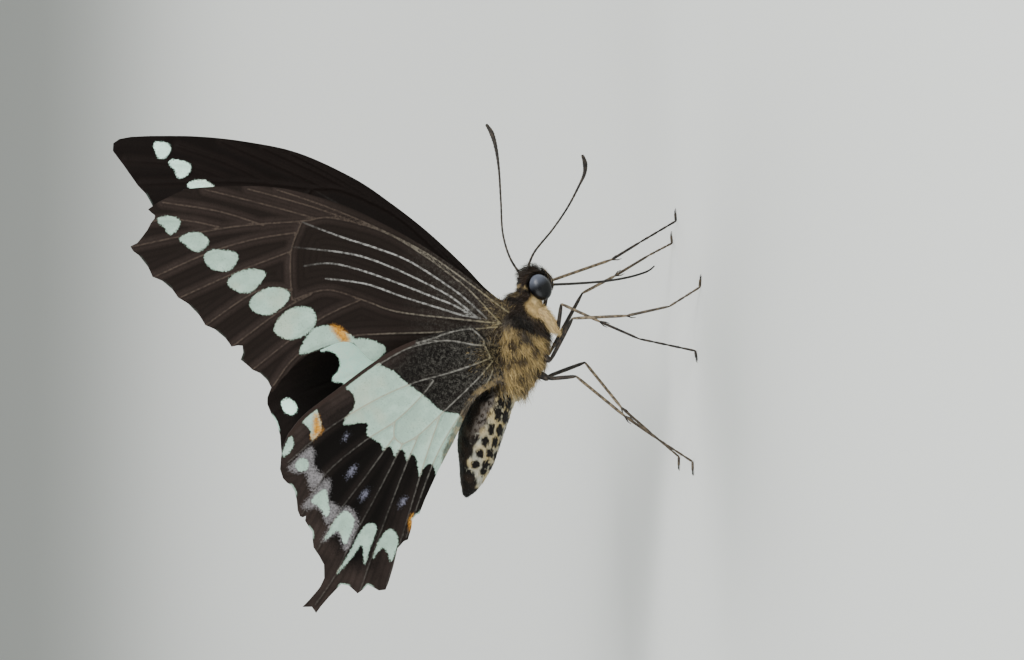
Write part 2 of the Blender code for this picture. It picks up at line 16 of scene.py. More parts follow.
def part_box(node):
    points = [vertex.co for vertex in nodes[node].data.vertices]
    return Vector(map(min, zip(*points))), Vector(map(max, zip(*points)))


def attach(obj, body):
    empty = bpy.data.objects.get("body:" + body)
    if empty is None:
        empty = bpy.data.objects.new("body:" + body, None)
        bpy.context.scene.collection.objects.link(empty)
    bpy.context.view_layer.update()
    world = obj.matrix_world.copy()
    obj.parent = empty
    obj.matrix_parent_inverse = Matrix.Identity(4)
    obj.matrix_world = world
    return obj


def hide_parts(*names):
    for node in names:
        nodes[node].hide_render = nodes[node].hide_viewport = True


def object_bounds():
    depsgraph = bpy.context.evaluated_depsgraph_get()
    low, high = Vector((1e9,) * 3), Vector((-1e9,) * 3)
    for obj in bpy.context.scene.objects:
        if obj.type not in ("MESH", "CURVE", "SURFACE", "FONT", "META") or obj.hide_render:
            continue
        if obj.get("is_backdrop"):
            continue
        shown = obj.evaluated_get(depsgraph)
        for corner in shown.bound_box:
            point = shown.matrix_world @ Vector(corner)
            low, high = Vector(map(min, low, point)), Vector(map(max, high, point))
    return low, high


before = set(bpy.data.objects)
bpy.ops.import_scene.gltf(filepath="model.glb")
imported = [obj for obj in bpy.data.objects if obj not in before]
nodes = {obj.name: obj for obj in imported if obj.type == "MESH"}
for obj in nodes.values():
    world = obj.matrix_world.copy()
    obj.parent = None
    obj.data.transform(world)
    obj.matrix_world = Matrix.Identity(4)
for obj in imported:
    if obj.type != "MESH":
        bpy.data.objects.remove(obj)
cad_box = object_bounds()
cad_size = [round(side * 1000, 1) for side in cad_box[1] - cad_box[0]]
print("nodes:", len(nodes), "box in mm:", cad_size)

# %% [markdown]
# Drawings of an insect are easiest in millimetres, with the places measured from the floor
# under the animal. The solids were centred on their own box after they were drawn, so the
# same shift is found here from one solid whose place is known, the right eye.

# %% Millimetres and the shift of the frame
MM = 0.001
RIGHT, LEFT = -1, 1
SIDE_NAMES = {RIGHT: "right", LEFT: "left"}
EYE_CENTRE = Vector((9.25, 1.6, 17.62))
low, high = (Vector(corner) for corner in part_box("eye_right"))
SHIFT = (low + high) / 2 - Vector((EYE_CENTRE.x, -EYE_CENTRE.y, EYE_CENTRE.z)) * MM
print("shift in mm:", [round(part * 1000, 2) for part in SHIFT])


def place(point):
    """A point in drawing millimetres as a place in the frame, in metres."""
    return Vector(point) * MM + SHIFT


def vectors(points):
    """Points as vectors."""
    return [Vector(point) for point in points]


def rows_of(points):
    """Points as the rows of an array."""
    return np.array([tuple(point) for point in points])


def smooth_path(points, steps=None, step=1.0):
    """Points on a curve through the given ones: so many to a span, or about a step apart."""
    places = [Vector(point).to_3d() for point in points]
    result = []
    for before, start, end, after in zip(places[:1] + places, places, places[1:],
                                         places[2:] + places[-1:]):
        count = steps or max(1, round((end - start).length / step))
        handle_out = start + (end - before) / 6
        handle_in = end - (after - start) / 6
        result += interpolate_bezier(start, handle_out, handle_in, end, count + 1)[:-1]
    return result + [places[-1]]


def soft(value, start, end):
    """A smooth step from 0 to 1 between two values."""
    share = np.clip((value - start) / (end - start), 0, 1)
    return share * share * (3 - 2 * share)


def read_places(mesh):
    """The places of a mesh's corners, one row each."""
    places = np.zeros(len(mesh.vertices) * 3)
    mesh.vertices.foreach_get("co", places)
    return places.reshape(-1, 3)


def write_places(mesh, places):
    """Move a mesh's corners to places in drawing millimetres."""
    mesh.vertices.foreach_set("co", (places * MM + np.array(SHIFT)).ravel())


def to_mesh(name, shape):
    """A shape as a new mesh; the shape itself is freed."""
    mesh = bpy.data.meshes.new(name)
    shape.to_mesh(mesh)
    shape.free()
    return mesh


def add_object(name, data):
    """A new object in the scene."""
    item = bpy.data.objects.new(name, data)
    bpy.context.scene.collection.objects.link(item)
    return item


def evaluated(item):
    """The mesh that an object shows, with its modifiers worked in."""
    graph = bpy.context.evaluated_depsgraph_get()
    return bpy.data.meshes.new_from_object(item.evaluated_get(graph))


def work_in(item):
    """Replace an object's mesh by the result of its modifiers and drop its helper groups."""
    mesh = evaluated(item)
    item.modifiers.clear()
    item.vertex_groups.clear()
    item.data = mesh
    return mesh


def show(item, slot, *replaced):
    """Finish a piece: it rides on the one body and stands for its solids."""
    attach(item, "root")
    if replaced:
        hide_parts(*replaced)
    triangles = sum(len(face.vertices) - 2 for face in item.data.polygons)
    print(item.name, "triangles:", triangles)


# %% [markdown]
# A wing is a flat drawing, set up on its hinge. Its edge follows the front rim, runs from one
# vein end to the next with a shallow dip between them, and comes back along the inner rim.
# The right front wing has lost its tip, and the rear tails are worn to stubs.

# %% The flat drawings of the wings
FORE_COSTA = [
    (-1.6, -1.3), (2.2, -3.3), (5.5, -5.7), (10.3, -8.8), (15.2, -11.4), (20.0, -13.5),
    (27.0, -15.3), (33.6, -15.5), (39.0, -15.1), (44.4, -14.2)]
FORE_APEX = [(46.6, -13.7), (47.9, -13.2), (48.5, -12.6), (48.4, -11.7), (46.8, -10.2)]
FORE_TORN_APEX = [
    (38.6, -15.0), (39.6, -14.6), (41.6, -13.6), (42.7, -12.8), (42.3, -12.4), (41.9, -12.1),
    (42.0, -11.7), (42.4, -11.2), (42.8, -10.4), (43.5, -9.5), (44.0, -8.9), (44.8, -8.5)]
FORE_VEIN_ENDS = [
    (44.8, -8.2), (42.2, -5.0), (39.2, -2.6), (36.0, 0.6), (32.9, 3.1), (30.4, 5.8), (28.2, 7.9)]
FORE_TEAR_PLACE = 5
FORE_TEAR = [(32.2, 2.95), (31.6, 3.0), (31.5, 3.8), (31.8, 4.6), (31.2, 5.1)]
FORE_INNER = [
    (26.4, 6.3), (24.8, 4.5), (22.4, 3.5), (20.0, 2.6), (18.4, 2.8), (17.2, 3.9), (15.6, 4.9),
    (11.0, 4.4), (6.5, 3.0), (3.6, 2.5), (1.2, 2.4), (-1.6, 1.6)]
HIND_SHOULDER = [(-2.8, -0.6), (-0.4, -1.5), (1.4, -2.5), (3.2, -3.7), (5.5, -3.3)]
HIND_COSTA = {
    RIGHT: [(10.3, -1.9), (14.0, -0.1), (19.4, 3.7), (23.3, 6.6), (25.2, 8.8)],
    LEFT: [(10.3, -3.0), (14.4, -1.9), (19.4, 1.6), (23.0, 5.6), (24.5, 8.5)],
}
HIND_MARGIN = {
    RIGHT: [
        (25.9, 10.4), (26.1, 11.6), (26.2, 12.9), (25.8, 14.0), (25.3, 14.5), (24.8, 14.8),
        (24.4, 15.5), (24.2, 16.5), (24.1, 17.7), (23.8, 18.4), (23.5, 18.5), (23.1, 18.3),
        (23.2, 18.9), (22.8, 19.5), (22.3, 20.2), (22.3, 21.1), (22.2, 22.0), (21.5, 23.0),
        (20.9, 24.0), (20.9, 24.8), (20.9, 25.6), (21.4, 26.6), (21.9, 27.2), (22.7, 28.1),
        (23.5, 28.9), (22.4, 28.9), (21.9, 29.6), (21.3, 28.8), (20.3, 27.7), (19.4, 26.8),
        (18.9, 26.3), (17.9, 26.5), (16.9, 27.4), (16.2, 26.9), (15.7, 26.4), (15.0, 26.7),
        (14.3, 27.1), (13.5, 27.0), (13.1, 25.9), (12.6, 24.3), (12.1, 22.2), (11.3, 21.4),
        (10.8, 21.2), (10.4, 19.9), (10.3, 18.9), (9.8, 18.3), (9.4, 18.2), (8.7, 16.5)],
    LEFT: [
        (24.7, 9.6), (24.6, 10.3), (24.1, 11.0), (23.4, 11.7), (22.9, 12.8), (22.8, 13.6),
        (22.7, 14.4), (21.9, 16.0), (20.7, 16.9), (19.6, 18.6), (18.4, 20.0), (17.5, 21.9),
        (17.7, 23.6), (18.3, 25.0), (17.4, 25.2), (16.6, 24.3), (14.9, 25.4), (13.8, 24.7),
        (12.4, 25.2), (11.7, 22.8), (10.8, 20.6), (9.0, 17.5)],
}
HIND_NOTCHES = {
    RIGHT: [(24.5, 15.2), (22.4, 20.2), (18.6, 26.3), (15.7, 26.4), (10.0, 18.3)],
    LEFT: [(23.4, 11.7), (20.7, 16.9), (17.6, 22.8), (13.8, 24.7)],
}
HIND_INNER = [(7.1, 13.2), (5.2, 9.8), (2.8, 5.2), (0.4, 3.4), (-2.8, 2.2)]
SCALLOP_DEPTH = 0.35
SCALLOP_SLOPE = 3.2
EDGE_STEP = 0.5


def flat_path(points, step=EDGE_STEP):
    """A smooth line of the drawing, with a point about every step."""
    return [point.to_2d() for point in smooth_path(points, step=step)]


def scalloped(ends):
    """The margin through the vein ends, with the notches between them."""
    rim, notches = [], []
    for start, end in zip(vectors(ends), vectors(ends[1:])):
        stretch = end - start
        inward = Vector((-abs(stretch.y), -abs(stretch.x))).normalized() * SCALLOP_DEPTH
        for share in np.arange(0, 1, 0.1):
            dip = min(1.0, SCALLOP_SLOPE * share, SCALLOP_SLOPE * (1 - share))
            rim.append(start.lerp(end, share) + inward * dip)
        notches.append(start.lerp(end, 0.5) + inward)
    return rim + [Vector(ends[-1])], notches


def fore_outline(side):
    """The front wing's edge; the right wing has lost its tip and a nick of its margin."""
    costa, inner = flat_path(FORE_COSTA), flat_path(FORE_INNER)
    margin, notches = scalloped(FORE_VEIN_ENDS)
    if side == LEFT:
        return costa + vectors(FORE_APEX) + margin + inner, notches
    costa = [point for point in costa if point.x < FORE_TORN_APEX[0][0]]
    above = scalloped(FORE_VEIN_ENDS[:FORE_TEAR_PLACE])[0]
    below = scalloped(FORE_VEIN_ENDS[FORE_TEAR_PLACE:])[0]
    margin = above[1:] + vectors(FORE_TEAR) + below
    return costa + vectors(FORE_TORN_APEX) + margin + inner, notches


def hind_outline(side):
    """The rear wing's edge, with the stub of its tail."""
    front, inner = flat_path(HIND_SHOULDER + HIND_COSTA[side]), flat_path(HIND_INNER)
    return front + vectors(HIND_MARGIN[side]) + inner, vectors(HIND_NOTCHES[side])


OUTLINES = {("front", side): fore_outline(side) for side in (RIGHT, LEFT)}
OUTLINES |= {("rear", side): hind_outline(side) for side in (RIGHT, LEFT)}
for (kind, side), (outline, notches) in OUTLINES.items():
    print(kind, SIDE_NAMES[side], "edge points:", len(outline), "notches:", len(notches))

# %% [markdown]
# The veins are drawn in the same flat millimetres. From the hinge they run round the long
# cell in the middle of the wing and fan out to the margin. Between them lie the pale marks:
# a curved row of spots on the front wing, and a broad band on the rear one.

# %% Veins and marks
FORE_VEINS = [
    [(-0.4, -0.9), (1.2, -2.0), (5.4, -5.0), (10.0, -8.0), (16.0, -10.9), (22.0, -13.3),
     (27.5, -15.1)],
    [(0.5, 0.4), (1.6, -0.6), (3.2, -2.3), (5.4, -4.3), (10.3, -7.8), (15.1, -10.4), (21.1, -11.9),
     (24.6, -11.5), (33.6, -10.7), (44.5, -8.5)],
    [(17.5, -11.1), (23.5, -13.2), (31.0, -15.2)],
    [(22.9, -11.8), (29.0, -13.4), (36.0, -15.1)],
    [(29.2, -11.0), (34.5, -12.6), (41.0, -13.6)],
    [(34.5, -10.8), (39.5, -11.6), (46.8, -10.9)],
    [(24.6, -11.5), (25.8, -8.5), (26.0, -5.8), (25.8, -2.3)],
    [(25.1, -10.2), (30.6, -9.3), (36.1, -7.6), (42.2, -4.9)],
    [(25.9, -8.0), (32.7, -5.4), (39.2, -2.5)],
    [(25.8, -3.5), (30.0, -3.3), (36.0, 0.6)],
    [(0.6, 0.4), (6.6, -0.2), (13.3, -1.0), (17.5, -2.4), (21.7, -3.5), (25.8, -2.3)],
    [(23.5, -3.0), (27.4, -0.9), (32.9, 3.1)],
    [(17.5, -2.4), (23.0, 0.2), (30.4, 5.7)],
    [(1.0, 0.8), (7.9, 1.4), (14.5, 1.6), (19.4, 2.0), (24.9, 3.9), (28.0, 7.6)],
]
CELL_STREAKS = [
    [(2.3, -0.2), (4.4, -2.1), (6.5, -3.7), (11.5, -6.8), (15.7, -8.4), (19.9, -9.7),
     (24.6, -11.4)],
    [(3.3, -0.2), (6.0, -2.3), (8.4, -3.7), (13.9, -6.2), (18.7, -7.7), (25.8, -8.5)],
    [(4.4, -0.7), (6.4, -1.8), (8.5, -2.6), (13.3, -4.4), (17.5, -5.8), (21.1, -6.6),
     (24.3, -6.3)],
    [(3.1, -0.2), (5.4, -0.6), (8.1, -1.4), (12.1, -2.6), (16.9, -4.2), (21.7, -4.8)],
]
HIND_VEINS = [
    [(0.5, -0.1), (1.4, -1.6)],
    [(3.2, -3.4), (5.5, -3.0), (8.0, -2.2), (10.3, -1.6)],
    [(2.9, -3.3), (1.9, -2.5), (1.4, -1.9), (1.6, -1.5), (2.6, -1.5), (6.1, -2.0), (9.4, -1.5),
     (11.5, -0.8), (14.6, 0.9)],
    [(0.2, 0.0), (5.5, 1.7), (10.3, 3.0), (15.2, 5.1), (20.6, 8.3), (25.3, 12.1)],
    [(7.7, 2.7), (9.4, 4.7), (12.4, 7.4), (16.4, 9.9), (21.0, 13.7), (23.6, 18.1)],
    [(12.4, 7.4), (12.5, 9.2), (11.5, 10.1)],
    [(12.5, 9.2), (15.8, 13.6), (19.4, 18.2), (21.8, 22.3)],
    [(0.2, 0.5), (3.0, 3.2), (6.8, 6.6), (9.5, 9.0), (11.5, 10.1)],
    [(11.5, 10.1), (14.0, 14.8), (17.6, 21.2), (19.6, 25.2), (22.0, 28.6)],
    [(9.5, 9.0), (11.5, 13.6), (14.5, 21.2), (16.6, 27.0)],
    [(6.8, 6.6), (8.8, 12.1), (10.9, 18.8), (13.4, 26.4)],
    [(0.3, 1.6), (1.5, 3.6), (3.9, 6.0), (7.4, 11.6), (11.0, 20.9)],
]
FORE_SPOTS = [
    [(43.8, -13.5), (42.1, -13.7), (41.8, -12.7), (42.4, -11.9), (43.1, -11.9), (43.5, -12.6)],
    [(41.6, -11.8), (40.2, -12.0), (39.1, -11.6), (39.1, -10.8), (39.8, -10.0), (40.4, -10.0),
     (40.9, -10.8), (41.5, -11.2)],
    [(39.1, -9.3), (38.2, -10.0), (36.8, -10.1), (35.6, -9.2), (36.2, -8.3), (37.0, -7.9),
     (37.9, -8.3), (38.4, -8.8)],
    [(36.2, -7.2), (35.2, -8.1), (32.4, -7.8), (32.3, -6.8), (33.4, -5.7), (35.2, -5.9)],
    [(33.4, -4.3), (32.5, -5.4), (30.6, -5.9), (29.0, -5.6), (29.3, -4.6), (30.8, -3.2),
     (32.4, -3.4)],
    [(30.8, -1.7), (30.2, -2.9), (28.2, -3.8), (26.2, -3.3), (26.4, -2.1), (28.2, -0.7),
     (29.9, -0.8)],
    [(27.9, 1.1), (27.4, -0.1), (25.7, -1.4), (23.4, -1.3), (23.0, 0.3), (24.2, 1.7), (26.1, 2.3),
     (27.5, 1.7)],
    [(24.9, 3.9), (24.2, 2.3), (22.9, 0.9), (21.1, 0.7), (18.6, 1.9), (18.4, 2.6), (21.1, 2.9),
     (23.5, 3.7)],
    [(18.4, 2.4), (16.9, 2.2), (14.6, 3.1), (15.0, 4.2), (16.2, 5.0), (17.4, 3.9)],
]
HIND_BAND = [
    (15.6, 7.8), (15.8, 8.9), (14.9, 9.5), (14.0, 10.1), (13.8, 10.8), (13.3, 10.3), (12.7, 10.6),
    (12.4, 11.6), (12.0, 10.8), (11.3, 10.8), (10.9, 12.0), (10.5, 11.2), (9.9, 11.5), (9.6, 12.5),
    (9.4, 13.8), (9.0, 13.0), (8.1, 12.3), (7.6, 12.8), (7.1, 13.6), (5.2, 10.2), (4.2, 7.0),
    (6.7, 6.2), (8.3, 4.9), (10.3, 3.4), (11.3, 2.7), (12.5, 1.6)]
HIND_BAND_TOP = {
    RIGHT: [
        (14.0, 0.9), (15.6, -0.6), (18.6, 2.6), (17.4, 4.2), (17.2, 4.9), (17.4, 5.9), (18.4, 7.0),
        (18.6, 7.7), (17.6, 7.7), (16.1, 7.5)],
    LEFT: [
        (13.8, -3.5), (19.6, 1.0), (19.6, 3.0), (18.5, 2.8), (17.5, 3.2), (17.1, 3.7), (17.0, 4.3),
        (17.1, 4.9), (17.5, 5.7), (17.6, 6.1), (17.1, 6.3), (16.2, 6.3)],
}
HIND_LUNULES = [
    [(25.0, 8.9), (24.6, 9.6), (24.7, 10.3), (25.2, 11.0), (25.9, 11.5), (25.8, 10.7),
     (25.4, 9.8)],
    [(24.4, 12.4), (24.0, 11.8), (23.2, 11.7), (22.8, 12.3), (23.0, 13.0), (23.7, 13.2),
     (24.2, 12.9)],
    [(22.5, 16.7), (21.9, 15.9), (20.8, 15.3), (20.5, 16.3), (20.3, 17.4), (20.4, 18.2),
     (20.8, 18.4), (21.2, 17.7), (21.8, 17.1)],
    [(21.0, 21.1), (20.5, 20.2), (19.6, 18.7), (18.5, 17.8), (17.8, 18.1), (17.3, 18.9),
     (17.6, 20.0), (18.3, 21.6), (18.7, 21.4), (18.9, 20.5), (19.4, 20.1), (20.1, 20.6)],
    [(19.5, 25.2), (18.8, 24.0), (17.6, 22.1), (16.7, 20.4), (15.8, 19.4), (14.9, 19.3),
     (14.6, 19.9), (14.9, 20.9), (15.4, 22.1), (16.0, 24.0), (16.2, 23.0), (16.2, 22.1),
     (16.6, 21.8), (17.2, 22.7), (18.2, 23.9)],
    [(15.1, 23.4), (14.7, 22.0), (14.0, 20.8), (13.1, 20.0), (12.3, 20.3), (12.0, 21.3),
     (12.4, 22.7), (12.9, 23.8), (13.1, 23.2), (13.4, 22.5), (13.9, 22.1), (14.6, 22.8)],
]
HIND_PATCH = [
    (23.6, 7.3), (22.9, 6.7), (21.9, 5.9), (21.6, 6.7), (21.3, 7.7), (21.3, 8.4), (21.8, 9.0),
    (22.4, 9.6), (22.5, 8.9), (22.8, 8.1)]
HIND_OCHRE = [
    [(22.0, 6.5), (21.7, 6.6), (21.4, 7.7), (21.2, 8.4), (21.8, 9.0), (22.4, 9.4), (22.3, 8.5),
     (22.2, 7.3)],
    [(10.6, 18.8), (10.2, 18.3), (10.2, 19.4), (10.6, 20.2)],
]
UPPER_SPOTS = [
    [(23.0, 9.7), (22.2, 9.2), (21.4, 9.5), (21.2, 10.1), (21.7, 10.6), (22.6, 10.5)],
    [(22.3, 14.2), (21.4, 14.0), (20.6, 14.8), (21.2, 15.5), (22.1, 15.2)],
]
HIND_LILAC = [
    [(25.2, 12.8), (24.6, 12.0), (23.7, 11.1), (22.5, 10.3), (22.1, 11.3), (22.2, 12.3),
     (21.7, 13.2), (21.1, 13.7), (21.7, 14.7), (22.5, 15.4), (22.8, 14.6), (23.0, 13.7),
     (23.5, 13.3), (24.4, 13.3)],
    [(23.5, 17.2), (22.8, 16.3), (21.9, 15.2), (20.5, 14.0), (20.2, 15.0), (20.4, 16.1),
     (20.1, 16.8), (19.2, 17.4), (19.7, 18.5), (20.6, 19.3), (21.0, 18.3), (21.5, 17.6),
     (22.2, 17.4), (22.9, 17.6)],
    [(21.2, 21.3), (20.5, 20.0), (19.6, 18.4), (18.5, 17.4), (17.6, 17.6), (16.9, 18.9),
     (17.2, 20.2), (18.2, 22.4), (18.8, 21.6), (19.0, 20.8), (19.5, 20.4), (20.3, 20.9)],
]
HIND_BLUE = [((17.6, 13.2), 0.3), ((16.1, 15.9), 0.3), ((11.4, 16.8), 0.22), ((18.3, 9.2), 0.12)]
FORE_OCHRE = [(21.2, 0.7), (20.2, 0.8), (19.3, 1.5), (18.9, 2.4), (19.7, 2.6), (20.6, 1.7)]


CURVE_STEP = 0.25
FAR_OFF = 1e3


def closed_curve(points):
    """A smooth closed outline through a few points, as an array."""
    curve = flat_path([points[-1]] + points + points[:2], CURVE_STEP)
    first = Vector(points[0])
    starts = [index for index, point in enumerate(curve) if (point - first).length < 1e-6]
    return rows_of(curve[starts[0]:starts[-1]])


def side_of_lines(flat, lines):
    """Distance of each flat point to the nearest of many lines, and the same with its side."""
    best = np.full(len(flat), FAR_OFF)
    sided = best.copy()
    for line in lines:
        for start, end in zip(line, line[1:]):
            stretch = end - start
            share = np.clip(((flat - start) @ stretch) / max(stretch @ stretch, 1e-9), 0, 1)
            gap = flat - start - share[:, None] * stretch
            length = np.hypot(gap[:, 0], gap[:, 1])
            turn = np.sign(stretch[0] * gap[:, 1] - stretch[1] * gap[:, 0])
            sided = np.where(length < best, length * turn, sided)
            best = np.minimum(best, length)
    return best, sided


def distance_to_lines(flat, lines):
    """Distance of each flat point to the nearest of many lines."""
    return side_of_lines(flat, lines)[0]


def signed_distance(flat, shapes):
    """Distance to the outline of the nearest drawn shape, negative inside."""
    result = np.full(len(flat), FAR_OFF)
    for shape in shapes:
        curve = closed_curve(shape)
        ring = np.vstack([curve, curve[:1]])
        inside = np.zeros(len(flat), bool)
        for start, end in zip(ring, ring[1:]):
            rise = end[1] - start[1]
            spans = (start[1] > flat[:, 1]) != (end[1] > flat[:, 1])
            if abs(rise) > 1e-9:
                crossing = start[0] + (flat[:, 1] - start[1]) * (end[0] - start[0]) / rise
                inside ^= spans & (crossing > flat[:, 0])
        gap = distance_to_lines(flat, [ring])
        result = np.minimum(result, np.where(inside, -gap, gap))
    return result


def as_lines(paths):
    """Drawn paths as smooth lines, each one an array."""
    return [rows_of(flat_path(path)) for path in paths]


print("veins:", len(FORE_VEINS), "and", len(HIND_VEINS), "spots:", len(FORE_SPOTS))


# %% [markdown]
# The drawing becomes a fine sheet: one many-sided face is cut by rows of parallel planes until
# it is a mesh of small squares. Each corner then keeps its distance to the nearest vein, mark
# and rim as named numbers, which the wing's material turns into crisp edges.

# %% Build a wing
WING_GRID = 0.2
WING_THICKNESS = 0.16
VEIN_RISE = 0.13
VEIN_WIDTH = 0.3
MEMBRANE_SAG = 0.16
SAG_REACH = 1.6
SAG_START = 8
WING_BOW = 0.7
WING_SPAN = 50.0
RIM_ANGLE = math.radians(60)
HINGES = {"front": Vector((5.4, 2.0, 21.9)), "rear": Vector((1.0, 3.2, 23.2))}
LEANS = {"front": math.radians(6.5), "rear": math.radians(8.5)}
ROOT_BENDS = {"front": 0.0, "rear": 1.1}
ROOT_BEND_LENGTH = 4.0
# The far wings are swung forward: by this much in front, and by this much at the tail.
SWINGS = {
    ("front", RIGHT): (0.0, 0.0),
    ("front", LEFT): (math.radians(10.0), math.radians(10.0)),
    ("rear", RIGHT): (0.0, 0.0),
    ("rear", LEFT): (math.radians(11.0), math.radians(2.0)),
}
FAN_START = math.radians(22.0)
FAN_END = math.radians(50.0)


def wing_place(kind, side, flat, offset):
    """Set points of the flat drawing on the body, offset outwards from the middle sheet."""
    hinge, lean, swing = HINGES[kind], LEANS[kind], SWINGS[kind, side]
    angle = np.arctan2(flat[:, 1], np.maximum(flat[:, 0], 1e-6))
    share = np.clip((angle - FAN_START) / (FAN_END - FAN_START), 0, 1)
    turn = swing[0] + (swing[1] - swing[0]) * share
    out = flat[:, 0] * np.cos(turn) + flat[:, 1] * np.sin(turn)
    back = flat[:, 1] * np.cos(turn) - flat[:, 0] * np.sin(turn)
    along = np.clip(out / WING_SPAN, 0, 1)
    depth = offset + WING_BOW * 4 * along * (1 - along)
    reach = np.hypot(np.maximum(out, 0), back)
    depth = depth - ROOT_BENDS[kind] * np.maximum(0, 1 - reach / ROOT_BEND_LENGTH) ** 2
    outward = math.sin(lean) * out + math.cos(lean) * depth
    upward = math.cos(lean) * out - math.sin(lean) * depth
    return np.column_stack([hinge.x - back, side * (hinge.y + outward), hinge.z + upward])


def cut_sheet(outline):
    """One face in the shape of the wing, cut into small squares."""
    sheet = bmesh.new()
    sheet.faces.new([sheet.verts.new((point.x, point.y, 0)) for point in outline])
    for axis, normal in enumerate(((1, 0, 0), (0, 1, 0))):
        start = min(point[axis] for point in outline)
        end = max(point[axis] for point in outline)
        for level in np.arange(start + WING_GRID, end, WING_GRID):
            bmesh.ops.bisect_plane(
                sheet, geom=sheet.verts[:] + sheet.edges[:] + sheet.faces[:], dist=1e-5,
                plane_co=Vector(normal) * level, plane_no=normal)
    bmesh.ops.remove_doubles(sheet, verts=sheet.verts, dist=0.02)
    return sheet


def store(mesh, name, values):
    """Keep one number for each corner under a name."""
    layer = mesh.attributes.new(name, "FLOAT", "POINT")
    layer.data.foreach_set("value", np.asarray(values, dtype=np.float32))


def face_outwards(mesh, side):
    """Turn the sheet's faces to the outer side of its wing."""
    shape = bmesh.new()
    shape.from_mesh(mesh)
    shape.normal_update()
    if sum(face.normal.y * face.calc_area() for face in shape.faces) * side < 0:
        bmesh.ops.reverse_faces(shape, faces=shape.faces)
    shape.to_mesh(mesh)
    shape.free()


def make_wing(kind, side, marks, veins, materials):
    """A thin wing with raised veins; the same drawing shows on both faces."""
    name = f"{kind}_wing_{SIDE_NAMES[side]}"
    outline, notches = OUTLINES[kind, side]
    mesh = to_mesh(name, cut_sheet(outline))
    flat = read_places(mesh)[:, :2]
    vein, vein_side = side_of_lines(flat, as_lines(veins))
    sag_share = np.minimum(vein / SAG_REACH, 1) ** 2 * np.clip(flat[:, 0] / SAG_START, 0, 1)
    write_places(mesh, wing_place(kind, side, flat, -MEMBRANE_SAG * sag_share))
    numbers = {
        "vein": vein,
        "vein_side": vein_side,
        "rim": distance_to_lines(flat, [rows_of(outline + outline[:1])]),
        "notch": np.min([np.hypot(*(flat - np.array(spot)).T) for spot in notches], axis=0),
        "out": flat[:, 0],
    }
    for label, values in (numbers | marks(flat, side)).items():
        store(mesh, label, values)
    face_outwards(mesh, side)
    item = add_object(name, mesh)
    for material in materials:
        mesh.materials.append(material)
    group = item.vertex_groups.new(name="thick")
    full = WING_THICKNESS + 2 * VEIN_RISE
    rise = np.clip(1 - vein / VEIN_WIDTH, 0, 1)
    for index, weight in enumerate((WING_THICKNESS + 2 * VEIN_RISE * rise) / full):
        group.add([index], float(weight), "REPLACE")
    solid = item.modifiers.new("Thickness", "SOLIDIFY")
    solid.thickness = full * MM
    solid.offset = 0.0
    solid.vertex_group = "thick"
    solid.use_rim = True
    solid.material_offset = 1
    solid.material_offset_rim = 2
    finished = work_in(item)
    finished.shade_smooth()
    finished.set_sharp_from_angle(angle=RIM_ANGLE)
    return item


# %% [markdown]
# Wing scales are tiny tiles of one colour each. The material therefore mixes flat colours
# through masks with grainy edges: every mask comes from one stored distance, shaken a little
# by noise as fine as the scales. Raised veins add a soft bump.

# %% Tools for materials
NOISE_ROUGHNESS = 0.6


def new_material(name):
    """A material with its node tree and its main shader."""
    material = bpy.data.materials.new(name)
    material.use_nodes = True
    tree = material.node_tree
    return material, tree, tree.nodes["Principled BSDF"]


def attribute(tree, name, output="Fac"):
    """A number or a colour stored in the mesh."""
    node = tree.nodes.new("ShaderNodeAttribute")
    node.attribute_name = name
    return node.outputs[output]


def feed(tree, value, socket):
    """Give a socket a number, a colour, a node's output or a stored number by its name."""
    if isinstance(value, tuple):
        socket.default_value = (*value, 1.0)
    elif isinstance(value, (int, float)):
        socket.default_value = value
    else:
        source = attribute(tree, value) if isinstance(value, str) else value
        tree.links.new(source, socket)


def math_node(tree, operation, first, second=0.0):
    """Plain arithmetic with two values."""
    node = tree.nodes.new("ShaderNodeMath")
    node.operation = operation
    for socket, value in zip(node.inputs, (first, second)):
        feed(tree, value, socket)
    return node.outputs[0]


def times(tree, *factors):
    """The product of several values."""
    result = factors[0]
    for factor in factors[1:]:
        result = math_node(tree, "MULTIPLY", result, factor)
    return result


def ramp(tree, value, start, end, low_value=0.0, high_value=1.0):
    """A smooth step of a value between two places."""
    node = tree.nodes.new("ShaderNodeMapRange")
    node.interpolation_type = "SMOOTHSTEP"
    for label, number in (("Value", value), ("From Min", start), ("From Max", end),
                          ("To Min", low_value), ("To Max", high_value)):
        feed(tree, number, node.inputs[label])
    return node.outputs["Result"]


def noise(tree, scale, detail=3.0, stretch=(1, 1, 1)):
    """Noise on the object's own metres."""
    coordinates = tree.nodes.new("ShaderNodeTexCoord")
    mapping = tree.nodes.new("ShaderNodeMapping")
    mapping.inputs["Scale"].default_value = stretch
    tree.links.new(coordinates.outputs["Object"], mapping.inputs["Vector"])
    node = tree.nodes.new("ShaderNodeTexNoise")
    node.inputs["Scale"].default_value = scale
    node.inputs["Detail"].default_value = detail
    node.inputs["Roughness"].default_value = NOISE_ROUGHNESS
    tree.links.new(mapping.outputs["Vector"], node.inputs["Vector"])
    return node.outputs["Fac"]


def patchy(tree, scale, detail, start, end, low_value=0.0, high_value=1.0):
    """A smooth step of noise: patches of a size."""
    return ramp(tree, noise(tree, scale, detail), start, end, low_value, high_value)


def mix(tree, factor, first, second):
    """A colour mix; each colour is a tuple or another node's output."""
    node = tree.nodes.new("ShaderNodeMix")
    node.data_type = "RGBA"
    feed(tree, factor, node.inputs["Factor"])
    colours = [socket for socket in node.inputs if socket.type == "RGBA"]
    for socket, value in zip(colours, (first, second)):
        feed(tree, value, socket)
    return next(socket for socket in node.outputs if socket.type == "RGBA")


